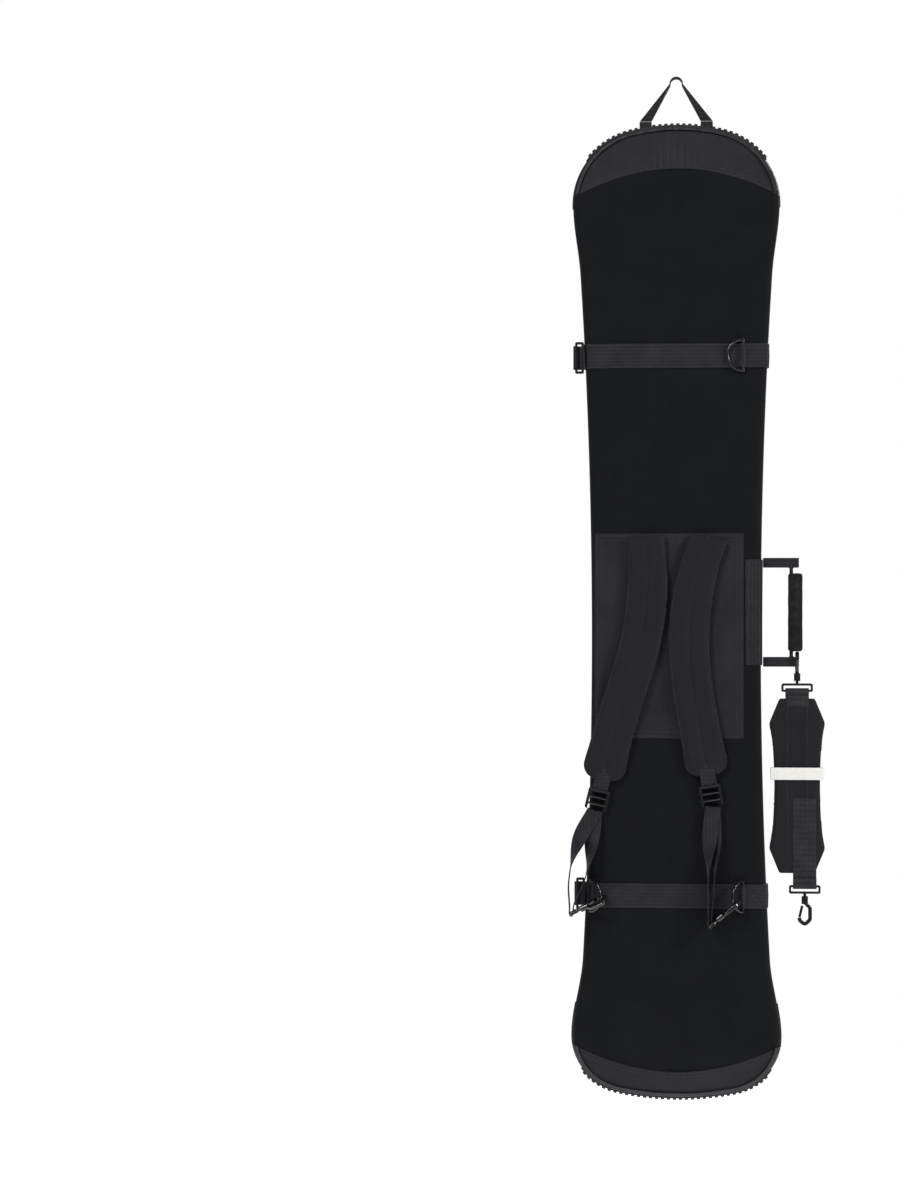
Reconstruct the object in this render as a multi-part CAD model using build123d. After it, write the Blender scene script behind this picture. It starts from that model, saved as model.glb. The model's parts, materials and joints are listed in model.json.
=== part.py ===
"""Padded snowboard bag: a neoprene sleeve with nylon end caps, an open hourglass front, cross
straps, a back harness, a carry handle and a clip-on shoulder sling.

Frame: millimetres, +Z up, +X towards the side of the strap rings, +Y out of the harness side.
The bag hangs by its grab loop, and the origin is the point where a hook carries that loop.
A place along the bag is given by s, the distance down from its tip edge.
"""
from build123d import *
import os
from math import atan2, cos, degrees, radians, sin, sqrt

# ---- driving dimensions ---------------------------------------------------------------------
BODY_LENGTH = 1600.0        # tip edge to tail edge
TIP_WIDTH = 336.0           # widest place of the tip pocket
TAIL_WIDTH = 340.0          # widest place of the tail pocket
TIP_PINCH_WIDTH = 312.0     # where the tip pocket ends
TAIL_PINCH_WIDTH = 304.0    # where the tail pocket starts
WAIST_WIDTH = 275.0
TIP_CROWN_R = 300.0         # flat middle arc of the tip
TIP_CORNER_R = 125.0
TAIL_CROWN_R = 460.0
TAIL_CORNER_R = 94.0
TIP_PINCH_S = 250.0
TAIL_PINCH_TO_END = 235.0
HOLLOW = 20.0               # inside depth that the board needs
NEOPRENE = 4.0
NYLON = 1.2
WEBBING = 2.0               # webbing thickness
STRAP_WIDTH = 40.0
KICK_LENGTH = 230.0         # how much of each end curves forward
KICK_RADIUS = 850.0
LOOP_RISE = 74.0            # hook point above the tip edge
LOOP_FOOT_X = 50.0
LOOP_WEBBING_WIDTH = 20.0
GUARD_BASE = 2.5            # rubber edge guard: band height and width, tooth height and pitch
GUARD_WIDTH = 12.0
TOOTH_HEIGHT = 2.5
TOOTH_PITCH = 9.8
TOOTH_LENGTH = 5.5
GUARD_TIP_REACH = 62.0      # how far the guard runs down from the tip edge
GUARD_TAIL_REACH = 52.0
PIPING = 4.0
PIPING_INSET = 4.0
PIPING_TIP_REACH = 118.0
PIPING_TAIL_REACH = 92.0
HEM = 12.0                  # binding along the opening
HOOD_EDGE_S = 207.0         # front opening edge of the tip pocket, at the middle
POCKET_EDGE_TO_END = 250.0
EDGE_SAG = 15.0             # how much both pocket edges bow
OPENING_WAIST = 132.0       # narrowest width of the front opening
OPENING_TIP_WIDTH = 206.0
OPENING_TAIL_WIDTH = 192.0
OPENING_CORNER = 8.5        # opening's corners, in from the bag's pinched edges
OPENING_FLARE_TIP = 195.0   # length of the opening's flare at each pocket
OPENING_FLARE_TAIL = 135.0
UPPER_STRAP_S = 384.0
LOWER_STRAP_S = 1262.0
MIDDLE_STRAP_S = 772.0
STRAP_TAIL_LENGTH = 268.0
RING_WIRE = 4.0
SLIDER_X = 81.0
SLIDER_TRAVEL = 120.0
HARNESS_LEFT, HARNESS_RIGHT = 132.0, -109.0
HARNESS_TOP_S, HARNESS_BOTTOM_S = 673.0, 1006.0
HARNESS_SHEET = 1.5
PAD_THICKNESS = 9.0
PAD_TOP_WIDTH = 60.0
PAD_WIDTH = 70.0
HARNESS_WEBBING_WIDTH = 25.0
HANDLE_S = 801.0
GRIP_LENGTH = 127.0
GRIP_DIAMETER = 24.5
GRIP_OFFSET = 55.5          # grip axis outside the bag's edge
HANDLE_EAR = 16.0
HANDLE_EAR_GAP = 9.0        # between the grip's end and the ear's webbing
HANDLE_EAR_END = 6.0        # how far the ears reach past the grip's axis
HANDLE_STRIP_WIDTH = 26.0
D_RING_LENGTH = 54.0
D_RING_DEPTH = 30.0
D_RING_WIRE = 5.0
D_RING_BAR_X = 108.0        # bars of the two rings on the handle side, from the middle
D_RING_BAR_EDGE = 8.0       # bar of the far ring, in from the bag's edge
D_RING_LIFT = 48.0          # degrees that the hooks pull the lower rings off the bag
HOOK_WIRE = 6.0
JAW = 11.0                  # clear width inside the hook
EYE_WIDTH = 30.0
LOCK_WIDTH = 36.0
LOCK_HEIGHT = 35.0
SLING_PAD_LENGTH = 285.0
SLING_PAD_WIDTH = 92.0
SLING_PAD_THICKNESS = 8.0
SLING_WEBBING_WIDTH = 38.0
SLING_EYE_WIDTH = 44.0
CLEAR = 0.4                 # gap between pieces that move past each other

# ---- places worked out from them --------------------------------------------------------------
OUTER = HOLLOW / 2 + NEOPRENE
BODY_Y = KICK_RADIUS - sqrt(KICK_RADIUS**2 - KICK_LENGTH**2)   # puts both end edges at y = 0
BACK = OUTER + WEBBING                                         # outer face of the back webbing
REACH = 600.0


def z_at(s):
    return -(LOOP_RISE + s)


def y_at(offset):
    """Y of a place that is `offset` out of the bag's middle surface, in the straight stretch."""
    return BODY_Y + offset


def rocker(s, offset):
    """Y of the middle surface's offset at s, where both ends curve forward on one radius."""
    into = max(KICK_LENGTH - s, s - (BODY_LENGTH - KICK_LENGTH), 0.0)
    return BODY_Y + sqrt((KICK_RADIUS + offset)**2 - into**2) - KICK_RADIUS


# ---- the bag's outline and its layers -----------------------------------------------------------
def end_arcs(side, width, crown_r, corner_r, edge_s, inward):
    """The crown and corner arcs of one end, from the middle out to the widest place."""
    half = width / 2
    lean = (half - corner_r) / (crown_r - corner_r)
    drop = crown_r * (1 - sqrt(1 - lean**2))
    join = (side * crown_r * lean, z_at(edge_s + inward * drop))
    depth = drop + corner_r * sqrt(1 - lean**2)
    tilt = radians(90) - atan2(lean, sqrt(1 - lean**2))
    crown_mid = (side * crown_r * sin((radians(90) - tilt) / 2),
                 z_at(edge_s + inward * crown_r * (1 - cos((radians(90) - tilt) / 2))))
    corner_mid = (side * (half - corner_r + corner_r * cos(tilt / 2)),
                  z_at(edge_s + inward * (depth - corner_r * sin(tilt / 2))))
    widest = (side * half, z_at(edge_s + inward * depth))
    crown = ThreePointArc((0, z_at(edge_s)), crown_mid, join)
    corner = ThreePointArc(join, corner_mid, widest)
    return [crown, corner], widest


def circle_through(a, b, c):
    """Centre and radius of the circle through three points."""
    (ax, ay), (bx, by), (cx, cy) = a, b, c
    d = 2 * (ax * (by - cy) + bx * (cy - ay) + cx * (ay - by))
    aa, bb, cc = ax**2 + ay**2, bx**2 + by**2, cx**2 + cy**2
    x = (aa * (by - cy) + bb * (cy - ay) + cc * (ay - by)) / d
    y = (aa * (cx - bx) + bb * (ax - cx) + cc * (bx - ax)) / d
    return x, y, sqrt((ax - x)**2 + (ay - y)**2)


def sidecut(points, grow):
    """The arc through three points of a hollow side, moved towards its own centre by `grow`."""
    x, y, r = circle_through(*points)
    scale = (r - grow) / r
    return ThreePointArc(*[(x + (px - x) * scale, y + (py - y) * scale) for px, py in points])


def outline(grow=0.0):
    """Face of the whole bag seen from the front, its edge moved outwards by `grow`."""
    edges = []
    for side in (-1, 1):
        tip, tip_wide = end_arcs(side, TIP_WIDTH + 2 * grow, TIP_CROWN_R + grow,
                                 TIP_CORNER_R + grow, GUARD_BASE * 2 - grow, 1)
        tail, tail_wide = end_arcs(side, TAIL_WIDTH + 2 * grow, TAIL_CROWN_R + grow,
                                   TAIL_CORNER_R + grow, BODY_LENGTH - GUARD_BASE * 2 + grow, -1)
        tip_pinch = (side * TIP_PINCH_WIDTH / 2, z_at(TIP_PINCH_S))
        tail_pinch = (side * TAIL_PINCH_WIDTH / 2, z_at(BODY_LENGTH - TAIL_PINCH_TO_END))
        waist = (side * WAIST_WIDTH / 2, z_at(BODY_LENGTH / 2))
        side_arc = sidecut((tip_pinch, waist, tail_pinch), grow)
        tip_flare = Spline([tip_wide, side_arc @ 0], tangents=[(0, -1), side_arc % 0])
        tail_flare = Spline([side_arc @ 1, tail_wide], tangents=[side_arc % 1, (0, -1)])
        edges += tip + [tip_flare, side_arc, tail_flare] + tail
    return make_face(edges)


BODY = outline()


def ring_of(outer, inner):
    """The part of the outline's plane between two offsets of its edge."""
    return outline(outer) - outline(inner)


def half_width(s):
    """Half the bag's width at s."""
    line = Line((0, z_at(s)), (REACH, z_at(s)))
    return max(edge.bounding_box().max.X for edge in BODY.intersect(line))


def prism(face):
    return extrude(Plane.XZ * face, amount=REACH, both=True)


def layer(inner, outer):
    """Everything between two offsets of the bag's middle surface."""
    def side(amount):
        past = KICK_LENGTH / 8
        s_ends = [-past, (KICK_LENGTH - past) / 2, KICK_LENGTH]
        tip = [(rocker(s, amount), z_at(s)) for s in s_ends]
        tail = [(y, z_at(BODY_LENGTH) - (z - z_at(0))) for y, z in reversed(tip)]
        return tip, tail

    tip_in, tail_in = side(inner)
    tip_out, tail_out = side(outer)
    edges = [
        ThreePointArc(*tip_in), Line(tip_in[2], tail_in[0]), ThreePointArc(*tail_in),
        Line(tail_in[2], tail_out[2]),
        ThreePointArc(*tail_out), Line(tail_out[0], tip_out[2]), ThreePointArc(*tip_out),
        Line(tip_out[0], tip_in[0]),
    ]
    return extrude(Plane.YZ * make_face(edges), amount=REACH, both=True)


def panel(face, inner, outer):
    """A sheet of the bag: a face of its outline, laid between two offsets."""
    return prism(face) & layer(inner, outer)


def patch(x0, x1, s0, s1):
    """A rectangle in the outline's plane."""
    return Pos((x0 + x1) / 2, z_at((s0 + s1) / 2)) * Rectangle(abs(x1 - x0), abs(s1 - s0))


def beyond_arc(edge_s, middle_s, far_s):
    """The region between a bowed seam across the bag and far_s."""
    w = TAIL_WIDTH / 2 + 10
    seam = ThreePointArc((-w, z_at(edge_s)), (0, z_at(middle_s)), (w, z_at(edge_s)))
    rest = Polyline((w, z_at(edge_s)), (w, z_at(far_s)), (-w, z_at(far_s)), (-w, z_at(edge_s)))
    return make_face([seam, rest])


def slab(x0, x1, y0, y1, s0, s1):
    """A block between two X, two Y and two s."""
    size = (abs(x1 - x0), abs(y1 - y0), abs(s1 - s0))
    return Pos((x0 + x1) / 2, (y0 + y1) / 2, z_at((s0 + s1) / 2)) * Box(*size)


def sheet(face, y0, y1):
    """A flat piece outside the bag, between two Y."""
    return extrude(Plane.XZ * face, amount=-(y1 - y0)).moved(Location((0, y0, 0)))


# ---- soft shell ---------------------------------------------------------------------------------
TAIL_S = BODY_LENGTH
HOOD = beyond_arc(HOOD_EDGE_S + EDGE_SAG, HOOD_EDGE_S, -20)
POCKET_EDGE_S = TAIL_S - POCKET_EDGE_TO_END
POCKET = beyond_arc(POCKET_EDGE_S - 1, POCKET_EDGE_S, TAIL_S + 20)


def opening(grow=0.0):
    """Face of the hourglass opening between the two pockets, made wider all round by `grow`."""
    top, bottom = HOOD_EDGE_S - 10, POCKET_EDGE_S + 10
    top_half = TIP_PINCH_WIDTH / 2 - OPENING_CORNER + grow
    bottom_half = TAIL_PINCH_WIDTH / 2 - OPENING_CORNER + grow
    edges = [Line((-top_half, z_at(top)), (top_half, z_at(top))),
             Line((-bottom_half, z_at(bottom)), (bottom_half, z_at(bottom)))]
    for side in (-1, 1):
        upper = (side * OPENING_TIP_WIDTH / 2, z_at(top + OPENING_FLARE_TIP))
        lower = (side * OPENING_TAIL_WIDTH / 2, z_at(bottom - OPENING_FLARE_TAIL))
        waist = (side * OPENING_WAIST / 2, z_at(BODY_LENGTH / 2 - 15))
        long_arc = sidecut((upper, waist, lower), grow)
        edges += [long_arc,
                  Spline([(side * top_half, z_at(top)), long_arc @ 0],
                         tangents=[(-side * 0.35, -1), long_arc % 0]),
                  Spline([long_arc @ 1, (side * bottom_half, z_at(bottom))],
                         tangents=[long_arc % 1, (side * 0.9, -1)])]
    return make_face(edges)


OPENING = opening()


def shell():
    """The neoprene sleeve: back, edge walls, pockets and front flanges."""
    parts = {"back_panel": panel(BODY, HOLLOW / 2, OUTER)}
    wall = panel(ring_of(0, -NEOPRENE), -HOLLOW / 2, HOLLOW / 2)
    tip_cut, tail_cut = TIP_PINCH_S - 30, TAIL_S - TAIL_PINCH_TO_END + 20
    spans = {"gusset_tip": (-REACH, REACH, -50, tip_cut),
             "gusset_tail": (-REACH, REACH, tail_cut, TAIL_S + 50),
             "gusset_left": (0, REACH, tip_cut, tail_cut),
             "gusset_right": (-REACH, 0, tip_cut, tail_cut)}
    for name, (x0, x1, s0, s1) in spans.items():
        parts[name] = wall & slab(x0, x1, -REACH, REACH, s0, s1)
    parts["tip_hood"] = panel(BODY & HOOD, -OUTER, -HOLLOW / 2)
    parts["tail_pocket"] = panel(BODY & POCKET, -OUTER, -HOLLOW / 2)
    middle = BODY - HOOD - POCKET - OPENING
    hem = (opening(HEM) - OPENING) & BODY
    hem = hem - HOOD - POCKET
    for name, x0, x1 in (("left_flange", 0, REACH), ("right_flange", -REACH, 0)):
        side = patch(x0, x1, 0, TAIL_S)
        parts[name] = panel(middle & side, -OUTER, -HOLLOW / 2)
    hood_hem = (BODY & HOOD) - beyond_arc(HOOD_EDGE_S + EDGE_SAG - HEM, HOOD_EDGE_S - HEM, -20)
    pocket_hem = (BODY & POCKET) - beyond_arc(POCKET_EDGE_S - 1 + HEM, POCKET_EDGE_S + HEM,
                                              TAIL_S + 20)
    bindings = [panel(face, -OUTER - NYLON, -OUTER) for face in (hem, hood_hem, pocket_hem)]
    parts["opening_binding"] = Compound(children=[s for b in bindings for s in b.solids()])
    return parts


def caps():
    """Nylon end caps over the neoprene, front and back, with their piping and edge guards."""
    parts = {}
    seams = {"tip_cap_back": (132, 78, -20, 1), "tail_cap_back": (TAIL_S - 100, TAIL_S - 49, TAIL_S + 20, 1),
             "tip_cap_front": (150, 88, -20, -1),
             "tail_cap_front": (TAIL_S - 172, TAIL_S - 114, TAIL_S + 20, -1)}
    for name, (edge_s, middle_s, far_s, side) in seams.items():
        face = BODY & beyond_arc(edge_s, middle_s, far_s)
        near, far = sorted((side * OUTER, side * (OUTER + NYLON)))
        parts[name] = panel(face, near, far)
    strip = ring_of(-PIPING_INSET, -PIPING_INSET - PIPING)
    top = OUTER + NYLON
    cords = []
    for side in (-1, 1):
        near, far = sorted((side * top, side * (top + PIPING * 0.8)))
        for s0, s1 in ((-20, PIPING_TIP_REACH), (TAIL_S - PIPING_TAIL_REACH, TAIL_S + 20)):
            face = strip & patch(-REACH, REACH, s0, s1)
            cords += panel(face, near, far).solids()
    parts["cap_piping"] = Compound(children=cords)
    parts["tip_edge_guard"] = edge_guard(-20, GUARD_TIP_REACH)
    parts["tail_edge_guard"] = edge_guard(TAIL_S - GUARD_TAIL_REACH, TAIL_S + 20)
    return parts


def edge_guard(s0, s1):
    """A rubber strip round one end, with square teeth at an even pitch."""
    band = panel(ring_of(GUARD_BASE, 0) & patch(-REACH, REACH, s0, s1), -GUARD_WIDTH / 2,
                 GUARD_WIDTH / 2)
    edge = outline(GUARD_BASE).faces()[0].outer_wire()
    count = round(edge.length / TOOTH_PITCH)
    teeth = []
    for i in range(count):
        at = edge.position_at(i / count)
        s = -at.Y - LOOP_RISE
        if s0 + TOOTH_LENGTH < s < s1 - TOOTH_LENGTH / 2:
            along = edge.tangent_at(i / count)
            turn = degrees(atan2(along.Y, along.X))
            square = Pos(at.X, at.Y) * Rot(0, 0, turn) * Rectangle(TOOTH_LENGTH, TOOTH_HEIGHT * 2)
            teeth.append(square)
    outside = Sketch() + teeth - outline(GUARD_BASE)
    return band + panel(outside, -GUARD_WIDTH / 2, GUARD_WIDTH / 2)


# ---- webbing and rings sewn to the shell -----------------------------------------------------------
RING_BAR_Y = y_at(-OUTER - NYLON - WEBBING - CLEAR - RING_WIRE / 2 - 0.3)
RING_INSIDE = STRAP_WIDTH + 4


def ring_bars(s):
    """X of the inner and the outer bar of a strap ring at s."""
    inner = half_width(s) + WEBBING + RING_WIRE / 2 + CLEAR
    return inner, inner + RING_WIRE * 2.6


def rectangle_ring(s):
    inner, outer = ring_bars(s)
    middle = ((inner + outer) / 2, z_at(s))
    wide, tall = outer - inner + RING_WIRE, RING_INSIDE + RING_WIRE * 2
    frame = Pos(*middle) * (RectangleRounded(wide, tall, RING_WIRE * 0.7)
                            - Rectangle(outer - inner - RING_WIRE, RING_INSIDE))
    return sheet(frame, RING_BAR_Y - RING_WIRE / 2, RING_BAR_Y + RING_WIRE / 2)


def ring_tab(s):
    """Webbing round the bag's edge that holds a strap ring by its inner bar."""
    inner, _ = ring_bars(s)
    skin = ring_of(WEBBING, 0) & patch(0, REACH, s - STRAP_WIDTH / 2, s + STRAP_WIDTH / 2)
    wrap = prism(skin) & slab(0, REACH, RING_BAR_Y, y_at(BACK), s - REACH, s + REACH)
    sleeve = slab(half_width(s) + WEBBING / 2, inner + RING_WIRE / 2, RING_BAR_Y + RING_WIRE / 2,
                  RING_BAR_Y + RING_WIRE / 2 + WEBBING, s - STRAP_WIDTH / 2, s + STRAP_WIDTH / 2)
    return (wrap + (sleeve - prism(BODY))) - rectangle_ring(s)


def strap_base(s):
    """The fixed half of a cross strap, sewn along both edges of the bag."""
    top = -OUTER - NYLON - CLEAR / 2
    half = half_width(s) - 2
    return sheet(patch(-half, half, s - STRAP_WIDTH / 2, s + STRAP_WIDTH / 2),
                 y_at(top - WEBBING), y_at(top))


def strap_tail(s):
    """The free half: it folds round the ring's outer bar and lies back over the base."""
    _, outer = ring_bars(s)
    inside = RING_WIRE / sqrt(2) + 0.2
    outside = inside + WEBBING
    fold = Pos(outer, RING_BAR_Y, z_at(s)) * (Cylinder(outside, STRAP_WIDTH)
                                              - Cylinder(inside, STRAP_WIDTH))
    fold = fold & slab(outer, outer + REACH, -REACH, REACH, s - REACH, s + REACH)
    free_end = outer - STRAP_TAIL_LENGTH
    face = patch(free_end, outer, s - STRAP_WIDTH / 2, s + STRAP_WIDTH / 2)
    ends = face.vertices().sort_by(Axis.X)[:2]
    flat = sheet(fillet(ends, STRAP_WIDTH / 3), RING_BAR_Y - outside, RING_BAR_Y - inside)
    return fold + flat


def middle_strap():
    s, half = MIDDLE_STRAP_S, half_width(MIDDLE_STRAP_S)
    top = -OUTER - NYLON
    lift = top - WEBBING - CLEAR
    long = sheet(patch(-half + 3, half - 3, s - STRAP_WIDTH / 2, s + STRAP_WIDTH / 2),
                 y_at(lift - WEBBING), y_at(lift))
    feet = Sketch() + [patch(side * (half - 3), side * (half - 26), s - STRAP_WIDTH / 2,
                             s + STRAP_WIDTH / 2) for side in (-1, 1)]
    return long + sheet(feet, y_at(lift), y_at(top))


def strap_slider():
    """Three-bar slide on the middle strap: cross bars in front, one bar behind the webbing."""
    top = -OUTER - NYLON - WEBBING - CLEAR
    tall = STRAP_WIDTH + 10
    plate = Pos(SLIDER_X, z_at(MIDDLE_STRAP_S)) * (RectangleRounded(24, tall, 4)
                                                   - Pos(-5, 0) * Rectangle(4, STRAP_WIDTH)
                                                   - Pos(5, 0) * Rectangle(4, STRAP_WIDTH))
    front = sheet(plate, y_at(top - WEBBING - CLEAR - 3), y_at(top - WEBBING - CLEAR))
    cheeks = Pos(SLIDER_X, z_at(MIDDLE_STRAP_S)) * (Rectangle(14, tall)
                                                    - Rectangle(14, STRAP_WIDTH + 2))
    sides = sheet(cheeks, y_at(top - WEBBING - CLEAR), y_at(top + 1.6))
    bar = Pos(SLIDER_X, z_at(MIDDLE_STRAP_S)) * Rectangle(5, tall)
    return front + sides + sheet(bar, y_at(top + CLEAR), y_at(top + 1.6))


def handle_axis_x():
    return -(half_width(HANDLE_S + GRIP_LENGTH) + WEBBING + 2 * CLEAR + 2.0)


def handle_base_strip():
    s0, s1 = HANDLE_S - 86, HANDLE_S + 86
    half = half_width(HANDLE_S)
    flat = panel(patch(-half + HANDLE_STRIP_WIDTH, -REACH, s0, s1) & BODY, OUTER, BACK)
    skin = ring_of(WEBBING, 0) & patch(-REACH, 0, s0, s1)
    return flat + (prism(skin) & slab(-REACH, 0, y_at(-OUTER), y_at(BACK), s0, s1))


def ear_places():
    reach = GRIP_LENGTH / 2 + HANDLE_EAR / 2 + HANDLE_EAR_GAP
    return [HANDLE_S - reach, HANDLE_S + reach]


def handle_webbing():
    """Two ears from the bag's edge to the grip, and the core that joins them inside it."""
    axis, grip = handle_axis_x(), -half_width(HANDLE_S) - GRIP_OFFSET
    parts = []
    for s in ear_places():
        parts.append(slab(axis, grip - HANDLE_EAR_END, BODY_Y - WEBBING, BODY_Y + WEBBING,
                          s - HANDLE_EAR / 2, s + HANDLE_EAR / 2))
        parts.append(Pos(axis, BODY_Y, z_at(s)) * Cylinder(WEBBING, HANDLE_EAR))
    core = slab(grip + 3.5, grip + 9.5, BODY_Y - WEBBING, BODY_Y + WEBBING, *ear_places())
    return parts[0] + parts[1:] + core


def handle_grip():
    grip = -half_width(HANDLE_S) - GRIP_OFFSET
    body = Pos(grip, BODY_Y, z_at(HANDLE_S)) * Cylinder(GRIP_DIAMETER / 2, GRIP_LENGTH)
    body = fillet(body.edges().filter_by(GeomType.CIRCLE), 4)
    return body - handle_webbing()


def grab_loop():
    """Webbing loop: flat at its two feet and turned edge-on where the hook carries it."""
    foot_z = z_at(0) + 4
    spread, half = LOOP_FOOT_X, LOOP_WEBBING_WIDTH / 2
    outer = [(spread + half, foot_z), (11, -10), (0, WEBBING), (-11, -10), (-spread - half, foot_z)]
    inner = [(spread - half, foot_z), (9, -11), (0, 0), (-9, -11), (-spread + half, foot_z)]
    edges = []
    for a, b, c, d, e in (outer, inner):
        edges += [Line(a, b), ThreePointArc(b, c, d), Line(d, e)]
    edges += [Line(outer[0], inner[0]), Line(outer[4], inner[4])]
    arch = extrude(Plane.XZ * make_face(edges), amount=half, both=True)
    flare = make_face(Polyline((-1.2, foot_z), (1.2, foot_z), (half, -12), (half, 5), (-half, 5),
                               (-half, -12), (-1.2, foot_z)))
    return arch & extrude(Plane.YZ * flare, amount=REACH, both=True)


# ---- D-rings, hooks and locks -----------------------------------------------------------------------
D_RING_Y = y_at(BACK + CLEAR + D_RING_WIRE / 2)


def d_ring_places():
    """Bar x, s, the way the curved side points, and its lift off the bag, for each D-ring."""
    far = half_width(LOWER_STRAP_S) - D_RING_BAR_EDGE
    return {"d_ring_upper": (-D_RING_BAR_X, UPPER_STRAP_S, 1, 0),
            "d_ring_lower_right": (-D_RING_BAR_X, LOWER_STRAP_S, 1, D_RING_LIFT),
            "d_ring_lower_left": (far, LOWER_STRAP_S, -1, D_RING_LIFT)}


def d_ring_frame(x, s, way, lift):
    """Frame of a D-ring: origin on its bar, x towards its curved side, y up the bar."""
    out = (way * cos(radians(lift)), sin(radians(lift)), 0)
    return Plane(origin=(x, D_RING_Y, z_at(s)), x_dir=out,
                 z_dir=(way * sin(radians(lift)), -cos(radians(lift)), 0))


def d_ring(*place):
    def dee(grow):
        half, depth = D_RING_LENGTH / 2 - grow, D_RING_DEPTH - D_RING_WIRE / 2 - grow
        bar = -D_RING_WIRE / 2 + grow
        shoulder = bar + 6
        arc = ThreePointArc((shoulder, half), (depth, 0), (shoulder, -half))
        side = Polyline((shoulder, -half), (bar, -half), (bar, half), (shoulder, half))
        return make_face([arc, side])

    face = dee(0) - dee(D_RING_WIRE)
    ring = extrude(face, amount=D_RING_WIRE / 2, both=True)
    ring = fillet(ring.edges().group_by(Axis.Z)[0] + ring.edges().group_by(Axis.Z)[-1], 1.6)
    return d_ring_frame(*place) * ring


def d_ring_tabs():
    """Webbing tabs that hold the three D-rings by their bars."""
    tabs = []
    for x, s, way, _ in d_ring_places().values():
        wide = D_RING_LENGTH - 2 * D_RING_WIRE - 6
        inside = D_RING_WIRE / 2 + CLEAR + 0.25
        outside = inside + WEBBING * 0.8
        sleeve = Pos(x, D_RING_Y, z_at(s)) * (Cylinder(outside, wide) - Cylinder(inside, wide))
        sleeve = sleeve & slab(-REACH, REACH, y_at(BACK), REACH, s - REACH, s + REACH)
        tail_x = -way * (half_width(s) - 1)
        flat = slab(x - way * inside, tail_x, y_at(BACK), y_at(BACK + WEBBING * 0.8),
                    s - wide / 2, s + wide / 2)
        tabs.append(sleeve + flat)
    return Compound(children=[solid for tab in tabs for solid in tab.solids()])


def hook_pieces(plane, eye_width, eye_turn=0):
    """A swivel snap hook: the eye at the frame's origin, the jaw along its x, gate on its -y side."""
    r = HOOK_WIRE / 2
    side = JAW / 2 + r
    eye_face = Pos(3, 0) * (RectangleRounded(14, eye_width + 7, 3)
                            - RectangleRounded(6.5, eye_width, 1))
    eye = extrude(eye_face, amount=2.1, both=True)
    eye = fillet(eye.edges().group_by(Axis.Z)[0] + eye.edges().group_by(Axis.Z)[-1], 0.9)
    stem = Pos(16, 0, 0) * Rot(0, 90, 0) * Cylinder(2.4, 14)
    collar = Pos(19.5, 0, 0) * Rot(0, 90, 0) * (Cylinder(5.2, 11) - Cylinder(2.4 + CLEAR, 11))
    collar = collar + Pos(25, 0, 0) * Rot(0, 90, 0) * Cylinder(5.2, 3)
    spine = FilletPolyline((25, 1), (33, side), (52, side), (60, 0), (53, -side), (49, -side),
                           radius=4.5)
    bow = extrude(trace(spine, HOOK_WIRE), amount=r, both=True)
    bow = fillet(bow.edges().group_by(Axis.Z)[0] + bow.edges().group_by(Axis.Z)[-1], 1.2)
    gate_line = Line((29.5, -4.2), (48.2, -side))
    gate = extrude(trace(gate_line, 4), amount=1.8, both=True)
    stem_end = 23
    eye = (eye + stem) - Pos(stem_end + 20, 0, 0) * Box(40, 20, 20)
    gate = gate - bow - collar - (Pos(49 - 0.3, -side, 0) * Box(0.6, 8, 8))
    return plane * Rot(eye_turn, 0, 0) * eye, plane * (collar + bow), plane * gate


def hook_frame(ring, grip, toward, tilt):
    """Frame of a hook clipped on a D-ring: origin at its eye, x along `toward`, flat tilted.

    `grip` is the place on the ring's own plane that sits in the middle of the hook's jaw.
    """
    ux, uz = toward
    length = sqrt(ux * ux + uz * uz)
    along = Vector(ux / length, 0, uz / length)
    across = Vector(-along.Z, 0, along.X)
    flat = Vector(0, 1, 0) * cos(radians(tilt)) + across * sin(radians(tilt))
    held = d_ring_frame(*d_ring_places()[ring]).from_local_coords(Vector(*grip))
    return Plane(origin=held - along * JAW_REACH, x_dir=along, z_dir=flat)


# ---- back harness -------------------------------------------------------------------------------------
LEFT_PAD_LINE = [(48, 676), (47, 768), (57, 844), (78, 919), (101, 995), (120, 1074)]
RIGHT_PAD_LINE = [(-55, 676), (-28, 768), (-21, 844), (-26, 919), (-39, 995), (-51, 1066)]
PAD_Y = y_at(OUTER + HARNESS_SHEET + 1.2)
PAD_PIVOT_S = HARNESS_TOP_S - 2
LOCK_REACH = 17.0           # from a pad's end to its lock's top bar
LOCK_BAR = 2.2
LOCK_PLATE = 4.0
PAD_END_PATCH = 20.0
JAW_REACH = 49.0            # from a hook's eye to what its jaw holds
SLING_HOOK_DROP = 45.0
SLING_NECK = 14.0
SLING_SHIFT = 3.0           # its hook hangs this far outside the grip's axis
SLING_TAIL_DROP = 22.0
SLING_TAIL_SHIFT = 12.0
SLING_TIE_UP = 20.0
# side, pad line, bulge of its webbing, the held place on the ring, hook direction, hook tilt
HARNESS_SIDES = [
    ("left", LEFT_PAD_LINE, 14, (24, 6), (-60, 27), 125),
    ("right", RIGHT_PAD_LINE, 2, (21, -14), (-54, 44), 90),
]


def ribbon(line, width_start, width_end, ease=0.25):
    """Face of a band of changing width along a smooth line of (x, s) points."""
    path = Spline([(x, z_at(s)) for x, s in line])
    steps = 8
    left, right = [], []
    for i in range(steps + 1):
        t = i / steps
        at, along = path @ t, path % t
        width = width_start + (width_end - width_start) * min(1.0, t / ease)
        normal = Vector(-along.Y, along.X) * (width / 2)
        left.append(at + normal)
        right.append(at - normal)
    edges = [Spline(left), Spline(right), Line(left[0], right[0]), Line(left[-1], right[-1])]
    return make_face(edges)


def shoulder_pad(line):
    face = ribbon(line, PAD_TOP_WIDTH, PAD_WIDTH)
    lower = face.vertices().sort_by(Axis.Y)[:2]
    face = fillet(lower, PAD_WIDTH / 3)
    return sheet(face, PAD_Y, PAD_Y + PAD_THICKNESS)


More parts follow.
